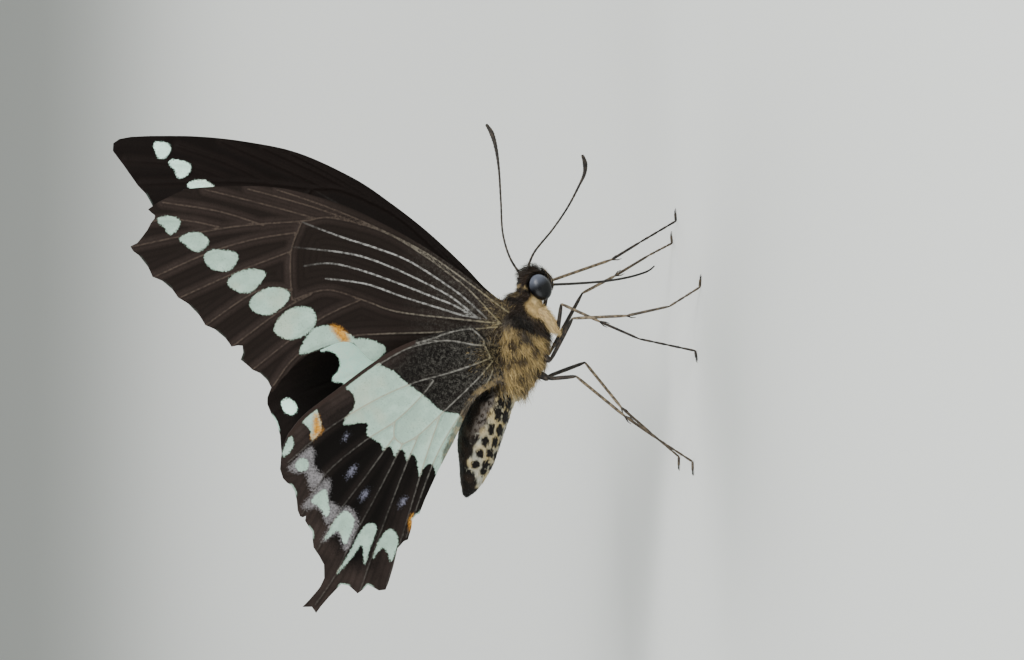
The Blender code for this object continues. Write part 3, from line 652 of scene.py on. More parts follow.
def bump(tree, principled, height, distance, strength=1.0):
    """Small relief from a height, with its depth in metres."""
    node = tree.nodes.new("ShaderNodeBump")
    node.inputs["Strength"].default_value = strength
    node.inputs["Distance"].default_value = distance
    tree.links.new(height, node.inputs["Height"])
    tree.links.new(node.outputs["Normal"], principled.inputs["Normal"])


def set_surface(tree, principled, colour, roughness, gloss=0.5):
    """Give the surface its colour, its roughness and its gloss."""
    feed(tree, colour, principled.inputs["Base Color"])
    principled.inputs["Roughness"].default_value = roughness
    principled.inputs["Specular IOR Level"].default_value = gloss


# %% [markdown]
# The underside is dark brown, dusted with grey near the hinge, and its veins and the streaks
# in the cell are pale. The upper side, which shows on the far wings, is velvety black. Both
# carry the same greenish white marks, and white hairs fringe the notches of the rim. On the
# upper side the marks are painted brighter, and those of the rear wing glow a little: painted
# light that stands in for the light shining through the thin wing into the shade between the wings.

# %% Wing materials
GRAIN = 5200.0
# Strength of the painted glow in the upper side's rear-wing marks, standing in for light shining
# through the wing.
PAINTED_GLOW_STRENGTH = 0.46
WING_ROUGHNESS, WING_GLOSS = 0.65, 0.06
SCALE_BUMP = 0.0001
PLEATS = 8.5
PALE = (0.36, 0.5, 0.41)
# The marks of the upper side are painted brighter than those of the underside: painted light
# shining through the thin wing into the shade between the wings.
PALE_WITH_PAINTED_LIGHT = (0.7, 1.0, 0.84)
WARM_SHARES = (1.1, 0.9, 0.85)
OCHRE, ORANGE = (0.33, 0.135, 0.015), (0.5, 0.25, 0.045)
STREAK = (0.27, 0.265, 0.25)
LINE_ON_BAND = (0.3, 0.24, 0.17)
GOLDEN_LINE = (0.24, 0.2, 0.1)
HEM = ((0.045, 0.037, 0.028), (0.17, 0.125, 0.065))
FRONT_RIM = (0.026, 0.017, 0.014)
NO_LIGHT = (0.0, 0.0, 0.0)


def shaken(tree, value, amount):
    """A distance shaken by scale-sized noise, in millimetres."""
    centred = math_node(tree, "SUBTRACT", noise(tree, GRAIN, 2.0), 0.5)
    return math_node(tree, "ADD", value, times(tree, centred, amount))


def near(tree, distance, amount, start, end):
    """A step of a distance with a grainy edge, from 0 at the start to 1 at the end."""
    return ramp(tree, shaken(tree, distance, amount), start, end)


def thin_line(tree, name, width, amount):
    """1 on a vein or streak, 0 beside it: the distance with its side keeps the line thin."""
    gap = math_node(tree, "ABSOLUTE", name + "_side")
    return times(tree, near(tree, gap, amount, width, width * 0.35), ramp(tree, name, 0.2, 0.12))


def ground_colour(tree, grounds, halo, strength, broad):
    """The dark ground with a paler glow near the rim and beside the veins, in fine pleats."""
    rim_glow = times(tree, near(tree, "rim", 1.0, 3.6, 0.8), ramp(tree, "out", 8.0, 15.0), "hind",
                     broad, 0.7)
    vein_glow = times(tree, near(tree, "vein", 0.35, 1.0, 0.1), broad, strength,
                      ramp(tree, "out", 8.0, 30.0, 0.25, 1.0),
                      ramp(tree, "hind", 0.0, 1.0, 1.0, 0.5))
    colour = mix(tree, rim_glow, mix(tree, "hind", *grounds), halo)
    colour = mix(tree, vein_glow, colour, halo)
    pleat = math_node(tree, "SINE", times(tree, "vein", PLEATS))
    return mix(tree, times(tree, ramp(tree, pleat, -0.2, 1.0), 0.22), colour, grounds[1])


def dust_over(tree, colour, dusty, broken, strength):
    """Single pale scales near the hinge, golden at the root."""
    size = math_node(tree, "ADD", times(tree, noise(tree, 9500.0, 2.0), 0.6),
                     times(tree, noise(tree, 2600.0, 3.0), 0.4))
    dust = times(tree, "dust", ramp(tree, size, 0.43, 0.62), broken, strength)
    return mix(tree, dust, colour, mix(tree, ramp(tree, "gold", 0.2, 0.9), *dusty))


def veins_over(tree, colour, lines, broken, strength):
    """Thin pale lines on the veins, which fade to the margin."""
    line = mix(tree, ramp(tree, "fade", 0.25, 0.75), lines[1], lines[0])
    line = mix(tree, "hind", line, lines[2])
    line = mix(tree, times(tree, ramp(tree, "gold", 0.0, 0.8), 0.7), line, GOLDEN_LINE)
    drawn = times(tree, thin_line(tree, "vein", 0.13, 0.12), strength, "fade", broken)
    return mix(tree, drawn, colour, line)


def pale_tint(tree, pale, vein_strength):
    """The greenish white of the marks, with faint shade, warm patches and veins."""
    shade = patchy(tree, 700.0, 4.0, 0.35, 0.7)
    tint = mix(tree, shade, tuple(0.82 * part for part in pale), pale)
    warm = tuple(part * share for part, share in zip(pale, WARM_SHARES))
    tint = mix(tree, patchy(tree, 240.0, 2.0, 0.52, 0.72, 0.0, 0.6), tint, warm)
    on_band = times(tree, thin_line(tree, "vein", 0.12, 0.06), vein_strength, "hind")
    return mix(tree, on_band, tint, LINE_ON_BAND)


def edges_over(tree, colour, pale):
    """The brown hem along the body, the dark front rim and the white fringe of the notches."""
    hem_tint = mix(tree, patchy(tree, 900.0, 3.0, 0.42, 0.56), *HEM)
    colour = mix(tree, times(tree, near(tree, "inner", 0.6, 0.85, 0.45), 0.8), colour, hem_tint)
    colour = mix(tree, near(tree, "front", 0.25, 0.5, 0.35), colour, FRONT_RIM)
    fringe = times(tree, ramp(tree, "notch", 1.0, 0.5), near(tree, "rim", 0.2, 0.22, 0.08),
                   ramp(tree, "hind", 0.0, 1.0, 0.05, 0.7))
    return mix(tree, fringe, colour, pale)


def wing_material(name, grounds, halo, lines, dusty, pale, strengths, marks=(), pattern="pale"):
    """Scales: the ground, the glow along the veins, dust, marks, veins and fringe in turn.

    The underside is the one that has small marks; it alone gets strong streaks and ochre.
    The upper side instead gets a painted glow in the marks of its rear wing.
    """
    material, tree, principled = new_material(name)
    halo_strength, line_strength, dust_strength = strengths
    broken = patchy(tree, 2300.0, 3.0, 0.36, 0.6, 0.3, 1.0)
    broad = patchy(tree, 380.0, 4.0, 0.3, 0.75, 0.7, 1.25)
    colour = ground_colour(tree, grounds, halo, halo_strength, broad)
    colour = dust_over(tree, colour, dusty, broken, dust_strength)
    streak = times(tree, thin_line(tree, "streak", 0.15, 0.14), ramp(tree, "out", 27.0, 16.0),
                   ramp(tree, "out", 2.0, 7.0, 0.45, 1.0), broken, 1.0 if marks else 0.1)
    colour = mix(tree, streak, colour, STREAK)
    speckled = patchy(tree, 4200.0, 2.0, 0.38, 0.62, 0.55, 1.0)
    for label, tint, strength in marks:
        mark = times(tree, near(tree, label, 1.3, 0.3, -0.3), speckled, strength)
        colour = mix(tree, mark, colour, tint)
    colour = veins_over(tree, colour, lines, broken, line_strength)
    tint = pale_tint(tree, pale, 0.6 if marks else 0.2)
    in_mark = near(tree, pattern, 0.6, 0.1, -0.1)
    colour = mix(tree, in_mark, colour, tint)
    if marks:
        ochre = mix(tree, patchy(tree, 3000.0, 3.0, 0.42, 0.6), OCHRE, ORANGE)
        colour = mix(tree, near(tree, "ochre", 0.9, 0.35, -0.35), colour, ochre)
    else:
        # Painted light: the rear wing's marks on the upper side glow, standing in for light that
        # shines through the thin wing.
        painted_glow = mix(tree, times(tree, in_mark, "hind"), NO_LIGHT, pale)
        feed(tree, painted_glow, principled.inputs["Emission Color"])
        principled.inputs["Emission Strength"].default_value = PAINTED_GLOW_STRENGTH
    colour = edges_over(tree, colour, pale)
    grain = noise(tree, GRAIN, 2.0)
    speck = tuple(0.3 * part for part in grounds[0])
    colour = mix(tree, ramp(tree, grain, 0.52, 0.75, 0.0, 0.25), colour, speck)
    set_surface(tree, principled, colour, WING_ROUGHNESS, WING_GLOSS)
    height = math_node(tree, "ADD", times(tree, ramp(tree, "vein", 0.35, 0.0), 0.6),
                       times(tree, grain, 0.4))
    bump(tree, principled, height, SCALE_BUMP, 0.8)
    return material


UNDER = wing_material(
    "wing_underside", grounds=((0.0125, 0.0087, 0.0071), (0.0032, 0.0025, 0.0021)),
    halo=(0.034, 0.024, 0.0205),
    lines=((0.2, 0.178, 0.14), (0.085, 0.056, 0.042), (0.2, 0.19, 0.17)),
    dusty=((0.12, 0.113, 0.098), (0.19, 0.15, 0.08)), pale=PALE, strengths=(0.75, 0.9, 0.72),
    marks=[("lilac", (0.18, 0.17, 0.175), 1.0), ("blue", (0.19, 0.19, 0.25), 0.7)])
UPPER = wing_material(
    "wing_upperside", grounds=((0.006, 0.004, 0.0033), (0.0045, 0.0032, 0.0027)),
    halo=(0.011, 0.0072, 0.006),
    lines=((0.012, 0.009, 0.008), (0.01, 0.007, 0.006), (0.012, 0.009, 0.008)),
    dusty=((0.03, 0.026, 0.02), (0.04, 0.03, 0.02)), pale=PALE_WITH_PAINTED_LIGHT, strengths=(0.6, 0.5, 0.4),
    pattern="pale_upper")
RIM = wing_material(
    "wing_rim", grounds=((0.012, 0.009, 0.008), (0.009, 0.007, 0.006)),
    halo=(0.014, 0.01, 0.009),
    lines=((0.03, 0.022, 0.015), (0.02, 0.015, 0.01), (0.03, 0.022, 0.015)),
    dusty=((0.05, 0.04, 0.03), (0.08, 0.06, 0.03)), pale=PALE, strengths=(0.3, 0.3, 0.3))
print("wing materials:", UNDER.name, UPPER.name, RIM.name)

# %% [markdown]
# A butterfly has two wings on each side, the rear one tucked under the front one. Every mark
# could be cut out as a shape of its own, but the scales lie in one even sheet. So each corner
# of the sheet is told how far it is from each mark, and the sheet stays whole.

# %% The four wings
NOWHERE = 9.0
ALONG_HIND = np.array((0.62, 0.78))
ACROSS_HIND = np.array((-0.78, 0.62))
HIND_ROOT = np.array((0.2, 0.5))


def fore_marks(flat, side):
    """The numbers of a front wing; the right one has lost the first spot with its tip."""
    out, nowhere = flat[:, 0], np.full(len(flat), NOWHERE)
    spots = signed_distance(flat, FORE_SPOTS if side == LEFT else FORE_SPOTS[1:])
    streak, streak_side = side_of_lines(flat, as_lines(CELL_STREAKS))
    return {
        "hind": np.zeros(len(flat)),
        "pale": spots,
        "pale_upper": spots,
        "streak": streak,
        "streak_side": streak_side,
        "dust": np.clip(1.0 - out / 13, 0, 1),
        "gold": np.clip(1.0 - out / 5, 0, 1),
        "fade": np.clip(1.1 - out / 26, 0.4, 0.9),
        "ochre": signed_distance(flat, [FORE_OCHRE]),
        "lilac": nowhere,
        "blue": nowhere,
        "inner": nowhere,
        "front": nowhere,
    }


def hind_marks(flat, side):
    """The numbers of a rear wing."""
    nowhere = np.full(len(flat), NOWHERE)
    reach = np.hypot(flat[:, 0], flat[:, 1])
    inner = distance_to_lines(flat, as_lines([HIND_INNER]))
    along = (flat - HIND_ROOT) @ ALONG_HIND
    band = signed_distance(flat, [HIND_BAND_TOP[side] + HIND_BAND])
    blue = nowhere
    for middle, size in HIND_BLUE:
        gap = flat - np.array(middle)
        blue = np.minimum(blue, np.hypot(gap @ ALONG_HIND * 0.5, gap @ ACROSS_HIND) - size)
    return {
        "hind": np.ones(len(flat)),
        "pale": np.minimum(band, signed_distance(flat, HIND_LUNULES + [HIND_PATCH])),
        "pale_upper": np.minimum(band, signed_distance(flat, UPPER_SPOTS + HIND_LUNULES[3:])),
        "streak": nowhere,
        "streak_side": nowhere,
        "dust": np.clip(1.25 - reach / 12, 0, 1),
        "gold": np.clip(np.maximum(1.2 - reach / 3, 1.0 - inner / 1.6 - along / 20), 0, 1),
        "fade": np.clip(1.1 - reach / 24, 0.18, 1),
        "ochre": signed_distance(flat, HIND_OCHRE),
        "lilac": signed_distance(flat, HIND_LILAC),
        "blue": blue,
        "inner": inner + 0.9 * soft(reach, 12.5, 15.0),
        "front": distance_to_lines(flat, as_lines([HIND_COSTA[side]])),
    }


for side in (RIGHT, LEFT):
    for kind, node, marks, veins in (("front", "forewing", fore_marks, FORE_VEINS),
                                     ("rear", "hindwing", hind_marks, HIND_VEINS)):
        wing = make_wing(kind, side, marks, veins, (UNDER, UPPER, RIM))
        show(wing, "wing", f"{node}_{SIDE_NAMES[side]}")

# %% [markdown]
# The real body is one soft skin under its coat, with no seams at the neck and the waist. So
# the three solids of the body are copied, joined by two hidden ellipsoids, remeshed as one
# shape, smoothed, and then drawn in by the depth of the coat.

# %% One skin for the body
BODY_NODES = ("head", "thorax", "abdomen")
SKIN_GRID = 0.15
SMOOTH_ROUNDS = 12
COAT_DEPTH = 0.45
CHEST_SHARE, BELLY_SHARE = 0.45, 0.1
SHARE_SLOPE = 0.4
WAIST_X = -3.0
FACE_X, FACE_Z = 8.6, 17.4
FILLERS = [((7.2, 0, 19.0), (1.5, 1.75, 2.0)), ((-2.6, 0, 21.4), (1.8, 2.4, 2.4))]


def between_0_and_1(value):
    """A value held between 0 and 1."""
    return min(max(value, 0), 1)


def coat_share(corner):
    """How far the skin is drawn in, as a share of the coat's depth: least on the belly."""
    x, _, z = (corner - SHIFT) / MM
    share = min(max(CHEST_SHARE + SHARE_SLOPE * (x - WAIST_X), BELLY_SHARE), CHEST_SHARE)
    face = between_0_and_1(x - FACE_X) * between_0_and_1((FACE_Z - z) / 2)
    return share + (1 - share) * face


carrier = bpy.data.meshes.new("carrier")
joined = bmesh.new()
for name in BODY_NODES:
    solid = bmesh.new()
    solid.from_mesh(nodes[name].data)
    solid.transform(nodes[name].matrix_world)
    bmesh.ops.remove_doubles(solid, verts=solid.verts, dist=1e-6)
    solid.to_mesh(carrier)
    solid.free()
    joined.from_mesh(carrier)
for centre, radii in FILLERS:
    matrix = Matrix.Translation(place(centre)) @ Matrix.Diagonal((*(Vector(radii) * MM), 1))
    bmesh.ops.create_uvsphere(joined, u_segments=32, v_segments=20, radius=1.0, matrix=matrix)
skin = add_object("body_skin", to_mesh("skin", joined))
remesh = skin.modifiers.new("One shape", "REMESH")
remesh.mode = "VOXEL"
remesh.voxel_size = SKIN_GRID * MM
remesh.use_smooth_shade = True
skin.modifiers.new("Smooth", "SMOOTH").iterations = SMOOTH_ROUNDS
skin_mesh = work_in(skin)
depths = skin.vertex_groups.new(name="depth")
for corner in skin_mesh.vertices:
    depths.add([corner.index], coat_share(corner.co), "REPLACE")
draw_in = skin.modifiers.new("Draw in", "DISPLACE")
draw_in.vertex_group = "depth"
draw_in.strength = -COAT_DEPTH * MM
draw_in.mid_level = 0.0
skin_mesh = work_in(skin)
print("skin corners:", len(skin_mesh.vertices))

# %% [markdown]
# The markings of the coat are worked out by one function, for the skin and for each tuft, so
# the two always agree. The places are read from the side view: ochre hair on the chest, black
# hair on the neck with a cream patch below the eye, and a buff belly with rows of black spots
# under a black back.

# %% Markings of the body
CREAM_PATCH = [
    (8.6, 18.5), (8.0, 18.0), (7.8, 17.3), (6.7, 16.9), (6.3, 16.4), (5.9, 17.4), (5.7, 18.3),
    (6.3, 19.1), (7.3, 19.4), (7.7, 18.9)]
GOLD_EDGE = [
    (6.2, 30.0), (4.9, 21.4), (4.5, 20.4), (4.1, 19.6), (3.8, 18.4), (3.5, 17.2), (3.1, 15.8),
    (2.6, 10.0)]
NECK_SPOTS = [((9.5, 20.0), 0.2), ((9.3, 19.3), 0.22), ((8.5, 20.0), 0.2), ((8.2, 20.5), 0.16)]
ABDOMEN_LINE = [
    (-2.0, 22.3), (-3.5, 22.9), (-4.9, 23.4), (-6.3, 24.2), (-8.2, 25.0), (-9.1, 25.6),
    (-11.0, 26.2), (-12.0, 26.2), (-12.9, 25.5), (-14.3, 25.2)]
BACK_RINGS = [-7.8, -9.3, -10.8, -12.2]
SPOT_ROWS = [
    [(-3.9, 22.4), (-5.6, 22.8), (-7.4, 23.6), (-8.8, 24.3), (-10.2, 24.9), (-11.6, 25.4),
     (-12.7, 25.9)],
    [(-4.3, 21.5), (-6.0, 21.8), (-7.6, 22.5), (-8.9, 23.1), (-10.2, 23.7), (-11.5, 24.2),
     (-12.4, 24.4)],
    [(-6.6, 20.9), (-8.0, 21.5), (-9.3, 22.1), (-10.6, 22.8), (-11.9, 23.3)],
]
BLACK = np.array((0.006, 0.0048, 0.0038))
BROWN = np.array((0.022, 0.014, 0.009))
GOLD = np.array((0.38, 0.27, 0.11))
ASH = np.array((0.05, 0.042, 0.034))
CREAM = np.array((0.6, 0.45, 0.22))
HONEY = np.array((0.5, 0.35, 0.15))
BUFF = np.array((0.31, 0.3, 0.24))
YELLOW = np.array((0.38, 0.3, 0.15))
WAVES = 9
PATCH_SIZE, FINE_SIZE = 1.5, 0.5
SPOT_REACH = (-12.7, -4.0)
SPOT_LENGTHS = (0.4, 0.92)
SPOT_HEIGHT = 0.44
SQUARENESS = 2.6
COAT_GLOSS = 0.08
SHEEN_ROUGHNESS = 0.4
SKIN_HAIR_SCALE, SKIN_HAIR_DEPTH = 6000.0, 0.00012


def speckle(points, size, seed):
    """Smooth patches between 0 and 1 over the body, a given size in millimetres."""
    waves = np.random.default_rng(seed)
    total = np.zeros(len(points))
    for _ in range(WAVES):
        heading = waves.normal(size=3)
        heading /= np.linalg.norm(heading)
        total += np.sin(points @ heading * (math.tau / size) * waves.uniform(0.7, 1.4)
                        + waves.uniform(0, 6.3))
    return np.clip(0.5 + total / 6, 0, 1)


def paint(colour, share, tint):
    """Lay a tint over the colours, by a share between 0 and 1."""
    colour += (tint - colour) * np.clip(share, 0, 1)[:, None]


def between(first, second, share):
    """A blend of two tints."""
    return first + (second - first) * share[:, None]


def paint_chest(colour, x, z, patches, fine):
    """Golden hair behind a slanting edge, flecked with brown and ash."""
    places, heights = np.array(GOLD_EDGE[::-1]).T
    edge = np.interp(z, heights, places)
    chest = soft(edge - x, -0.15, 0.35) * soft(x, -3.6, -2.6)
    paint(colour, chest * soft(22.6 - z, -0.6, 0.8), GOLD * (0.6 + 0.7 * fine[:, None]))
    paint(colour, chest * soft(patches + 0.5 * fine, 0.76, 0.94) * 0.9, BROWN)
    middle = soft(1.9 - np.abs(x - 4.1) - 0.6 * np.abs(z - 19.6), 0, 1.2)
    paint(colour, chest * middle * 0.55, ASH)


def paint_head(colour, side_view, patches, fine):
    """A cream cheek and small pale spots on black, with ash on the shoulder and the face."""
    x, z = side_view.T
    cheek = between(CREAM, HONEY, soft(patches, 0.2, 0.8)) * (0.75 + 0.35 * fine[:, None])
    paint(colour, soft(-signed_distance(side_view, [CREAM_PATCH]), -0.25, 0.2), cheek)
    shoulder = soft(0.9 - np.hypot((x - 5.1) / 1.2, (z - 21.6) / 0.8), 0, 0.4)
    paint(colour, shoulder * 0.5, ASH * 3.0)
    for (spot_x, spot_z), size in NECK_SPOTS:
        spot = soft(size - np.hypot(x - spot_x, z - spot_z), -0.1, 0.12)
        paint(colour, spot * 0.7, CREAM * 0.8)
    paint(colour, soft(16.9 - z, 0, 0.4) * soft(x - 8.2, 0, 0.3) * 0.3, ASH)


def paint_belly(colour, x, z, patches, fine):
    """A buff belly with rows of black spots, mottled where it meets the black back."""
    places, heights = np.array(ABDOMEN_LINE).T
    line = np.interp(-x, -places, heights) + 0.5 * (patches - 0.5)
    abdomen = soft(-2.7 - x, -0.2, 0.5)
    belly = abdomen * soft(line - z, -0.15, 0.2)
    back = abdomen * (1 - belly)
    paint(colour, belly, between(BUFF, YELLOW, patches) * (0.75 + 0.4 * fine[:, None]))
    flecks = soft(1.0 - (line - z), 0, 0.9) * soft(fine, 0.4, 0.7) * soft(x, -9.0, -6.5)
    paint(colour, belly * flecks, BROWN)
    mottled = back * soft(line + 1.7 - z, 0, 1.2) * soft(x, -9.5, -6.5)
    paint(colour, mottled * soft(0.6 * fine + 0.4 * patches, 0.42, 0.66) * 0.55,
          BUFF * (0.55, 0.5, 0.55))
    for ring in BACK_RINGS:
        thin = soft(0.1 - np.abs(x - ring + 0.4 * (patches - 0.5)), 0, 0.06)
        faded = soft(line + 0.8 - z, 0, 0.5) * soft(fine, 0.3, 0.6) * 0.6
        paint(colour, back * thin * faded, BUFF)
    for spot_x, spot_z in sum(SPOT_ROWS, []):
        length = np.interp(spot_x, SPOT_REACH, SPOT_LENGTHS)
        gap = (np.abs((x - spot_x) / length) ** SQUARENESS
               + np.abs((z - spot_z) / SPOT_HEIGHT) ** SQUARENESS) ** 0.38
        paint(colour, belly * soft(1.12 - gap + 0.5 * (fine - 0.5), -0.1, 0.25), BLACK)
    paint(colour, soft(-14.1 - x, 0, 0.4), BLACK)
    paint(colour, soft(-12.7 - x, 0, 0.3) * soft(0.35 - np.abs(z - 24.6), 0, 0.2), BUFF)


def coat_colours(points):
    """The colour of the coat at places in drawing millimetres."""
    x, z = points[:, 0], points[:, 2]
    patches = speckle(points, PATCH_SIZE, 3)
    fine = speckle(points, FINE_SIZE, 4)
    colour = between(BLACK, BROWN, patches)
    paint_chest(colour, x, z, patches, fine)
    paint_head(colour, points[:, [0, 2]], patches, fine)
    paint_belly(colour, x, z, patches, fine)
    return colour


def store_colours(mesh, colours):
    """Keep the coat's colour for each corner."""
    layer = mesh.color_attributes.new("coat", "FLOAT_COLOR", "POINT")
    rows = np.column_stack([colours, np.ones(len(colours))]).astype(np.float32)
    layer.data.foreach_set("color", rows.ravel())


def corners(mesh):
    """Corner places in drawing millimetres."""
    return (read_places(mesh) - np.array(SHIFT)) / MM


def coat_material(name, roughness, sheen):
    """A material that shows the stored markings."""
    material, tree, principled = new_material(name)
    set_surface(tree, principled, attribute(tree, "coat", "Color"), roughness, COAT_GLOSS)
    principled.inputs["Sheen Weight"].default_value = sheen
    principled.inputs["Sheen Roughness"].default_value = SHEEN_ROUGHNESS
    return material, tree, principled


store_colours(skin_mesh, coat_colours(corners(skin_mesh)))
skin_mesh.materials.clear()
skin_hair, skin_tree, skin_principled = coat_material("skin_hair", 0.7, 0.08)
fine_hair = noise(skin_tree, SKIN_HAIR_SCALE, 3.0, (0.35, 1, 1))
bump(skin_tree, skin_principled, fine_hair, SKIN_HAIR_DEPTH)
skin_mesh.materials.append(skin_hair)
show(skin, "thorax", *BODY_NODES)

# %% [markdown]
# Hair that breaks the outline is modelled: each tuft is a thin pointed lock that leaves the
# skin and bends over with the lie of the coat. One lock is made, copied as often as needed by
# doubling, and every copy is then set on its own root. Its colour comes from the markings.

# %% Tools for the coat
PATCH = 0.003
LOCK_CUTS = 3
LOCK_SIDES = 4
LOCK_TIP = 0.08
ROOT_SINK = 0.08
FLATNESS = 0.45
START_SLANT = 0.6
SPINE_PLACES = (-11.5, 0, 3, 7, 16)
SPINE_HEIGHTS = (18.4, 20.0, 21.6, 24.0, 26.0)
BODY_REAR, BODY_LENGTH = -16, 28.5
UNWRAP_START, UNWRAP_WIDTH = 0.02, 0.96
HAIR = coat_material("coat_hair", 0.6, 0.1)[0]
rng = np.random.default_rng(11)


def lock_shape():
    """A cone from 0 to 1 along z, cut across so that it can bend."""
    shape = bmesh.new()
    bmesh.ops.create_cone(shape, cap_ends=False, segments=LOCK_SIDES, radius1=1.0, radius2=LOCK_TIP,
                          depth=1.0, matrix=Matrix.Translation((0, 0, 0.5)))
    for level in range(1, LOCK_CUTS):
        bmesh.ops.bisect_plane(shape, geom=shape.verts[:] + shape.edges[:] + shape.faces[:],
                               plane_co=(0, 0, level / LOCK_CUTS), plane_no=(0, 0, 1))
    return shape


def many_copies(shape, count):
    """A mesh with a number of copies of a shape, and the corners of each copy."""
    blocks = [to_mesh("copies", shape)]
    while 2 ** len(blocks) <= count:
        double = bmesh.new()
        double.from_mesh(blocks[-1])
        double.from_mesh(blocks[-1])
        blocks.append(to_mesh("copies", double))
    total = bmesh.new()
    for power in reversed(range(len(blocks))):
        if count & (1 << power):
            total.from_mesh(blocks[power])
    return to_mesh("coat", total), len(blocks[0].vertices)


def unit(rows):
    """Rows scaled to the length 1."""
    return rows / np.maximum(np.linalg.norm(rows, axis=1, keepdims=True), 1e-9)


def scatter(mesh, density, keep):
    """Roots spread over a mesh: their places and normals, where keep says how many grow."""
    mesh.calc_loop_triangles()
    triangles = np.zeros(len(mesh.loop_triangles) * 3, dtype=int)
    mesh.loop_triangles.foreach_get("vertices", triangles)
    first, second, third = corners(mesh)[triangles.reshape(-1, 3).T]
    across = np.cross(second - first, third - first)
    areas = np.linalg.norm(across, axis=1) / 2
    counts = rng.poisson(areas * density * keep((first + second + third) / 3))
    owner = np.repeat(np.arange(len(counts)), counts)
    share = rng.random((len(owner), 2))
    share = np.where(share.sum(axis=1, keepdims=True) > 1, 1 - share, share)
    spots = (first[owner] + (second - first)[owner] * share[:, :1]
             + (third - first)[owner] * share[:, 1:])
    return spots, unit(across)[owner]


def unwrap(points):
    """The skin unrolled round its long axis, scaled into a unit square."""
    spine_z = np.interp(-points[:, 0], SPINE_PLACES, SPINE_HEIGHTS)
    angle = np.arctan2(points[:, 1], points[:, 2] - spine_z) / math.tau + 0.5
    along = (points[:, 0] - BODY_REAR) / BODY_LENGTH
    return UNWRAP_START + UNWRAP_WIDTH * np.column_stack([along, angle])


def measures(count, long, wide):
    """Random lengths and widths, in millimetres, for a number of locks."""
    return rng.uniform(*long, count), rng.uniform(*wide, count)


def grow_coat(name, roots, normals, lie, sizes, rise, grey=0.0, tints=None, ruffle=0.16):
    """Set one lock on every root, rising from the skin and bending to the lie."""
    count = len(roots)
    mesh, size = many_copies(lock_shape(), count)
    model = read_places(mesh)[:size]
    along = model[:, 2][None, :, None]
    lie = np.broadcast_to(lie, (count, 3))
    lie = unit(lie - normals * (lie * normals).sum(axis=1, keepdims=True))
    wander = unit(lie + rng.normal(scale=ruffle, size=(count, 3)))
    start = unit(normals * rise + wander * START_SLANT)
    across = unit(np.cross(normals, wander))
    flat = unit(np.cross(wander, across))
    length, width = (measure[:, None, None] for measure in sizes)
    bend = (wander - start * 0.75)[:, None] * along ** 2 * 0.5
    path = length * (start[:, None] * along + bend)
    spread = width * (across[:, None] * model[:, 0][None, :, None]
                      + FLATNESS * flat[:, None] * model[:, 1][None, :, None])
    places = (roots - normals * ROOT_SINK)[:, None] + path + spread
    write_places(mesh, places.reshape(-1, 3))
    shade = rng.uniform(0.55, 1.4, count)[:, None, None] * (0.7 + 0.5 * along)
    grizzle = (rng.random(count) < grey)[:, None, None] * ASH * (0.4 + 0.8 * along)
    tints = coat_colours(roots) if tints is None else np.broadcast_to(tints, (count, 3))
    store_colours(mesh, (tints[:, None, :] * shade + grizzle).reshape(-1, 3))
    patch = np.column_stack([model[:, 0] / 2, model[:, 2] - 0.5]) * PATCH
    spots = (unwrap(roots)[:, None, :] + patch).reshape(-1, 2)
    loops = np.zeros(len(mesh.loops), dtype=int)
    mesh.loops.foreach_get("vertex_index", loops)
    layer = mesh.uv_layers.new(name="OFBake")
    layer.data.foreach_set("uv", spots[loops].astype(np.float32).ravel())
    mesh.update()
    mesh.shade_smooth()
    mesh.materials.append(HAIR)
    return add_object(name, mesh)


# %% [markdown]
# The chest is shaggy: long ochre hair that runs back and down over the waist. The head and
# neck have shorter, darker hair that stands up in a crest above the eye and a ruff behind it.
# The belly has short scales that lie flat. Hair leaves the eyes and the floor free.

# %% Grow the coat
EYE_CLEARANCE = (1.82, 1.32, 1.48)


def near_eye(points):
    """1 away from both eyes, 0 on them."""
    mirrored = points * (1, 0, 1) + (0, 1, 0) * np.abs(points[:, 1:2])
    gap = np.linalg.norm((mirrored - np.array(EYE_CENTRE)) / EYE_CLEARANCE, axis=1)
    return soft(gap, 0.95, 1.05)


def chest_keep(points):
    """1 where chest hair grows."""
    return soft(points[:, 0], -3.4, -2.4) * soft(6.6 - points[:, 0], 0, 1.0)


def head_keep(points):
    """1 where head hair grows."""
    return soft(points[:, 0], 4.2, 5.6) * near_eye(points)


def belly_keep(points):
    """1 where belly scales grow."""
    return soft(-2.0 - points[:, 0], 0, 1.0)


roots, normals = scatter(skin_mesh, 38.0, chest_keep)
lengths, widths = measures(len(roots), (0.9, 1.7), (0.035, 0.075))
lengths *= 0.75 + 0.5 * soft(-roots[:, 0], -1, 2.5)
show(grow_coat("chest_coat", roots, normals, (-1.0, 0.0, -0.35), (lengths, widths), 0.55,
               grey=0.2, ruffle=0.3), "thorax")

roots, normals = scatter(skin_mesh, 62.0, head_keep)
from_eye = roots * (1, 0, 1) - np.array((EYE_CENTRE.x, 0, EYE_CENTRE.z))
lie = unit(from_eye) * 0.5 + np.array((-0.5, 0.0, 0.5))
crest = soft(roots[:, 0] - 10.2, 0, 0.8)
ruff = soft(9.2 - roots[:, 0], 0, 0.8) * soft(roots[:, 2] - 19.0, 0, 1.0)
lengths, widths = measures(len(roots), (0.35, 0.7), (0.025, 0.05))
lengths *= 1 + 0.7 * crest + 0.8 * ruff
show(grow_coat("head_coat", roots, normals, lie, (lengths, widths), 0.9, grey=0.22), "head")

roots, normals = scatter(skin_mesh, 34.0, belly_keep)
sizes = measures(len(roots), (0.3, 0.5), (0.07, 0.11))
show(grow_coat("belly_coat", roots, normals, (-1.0, 0.0, 0.2), sizes, 0.12), "abdomen")

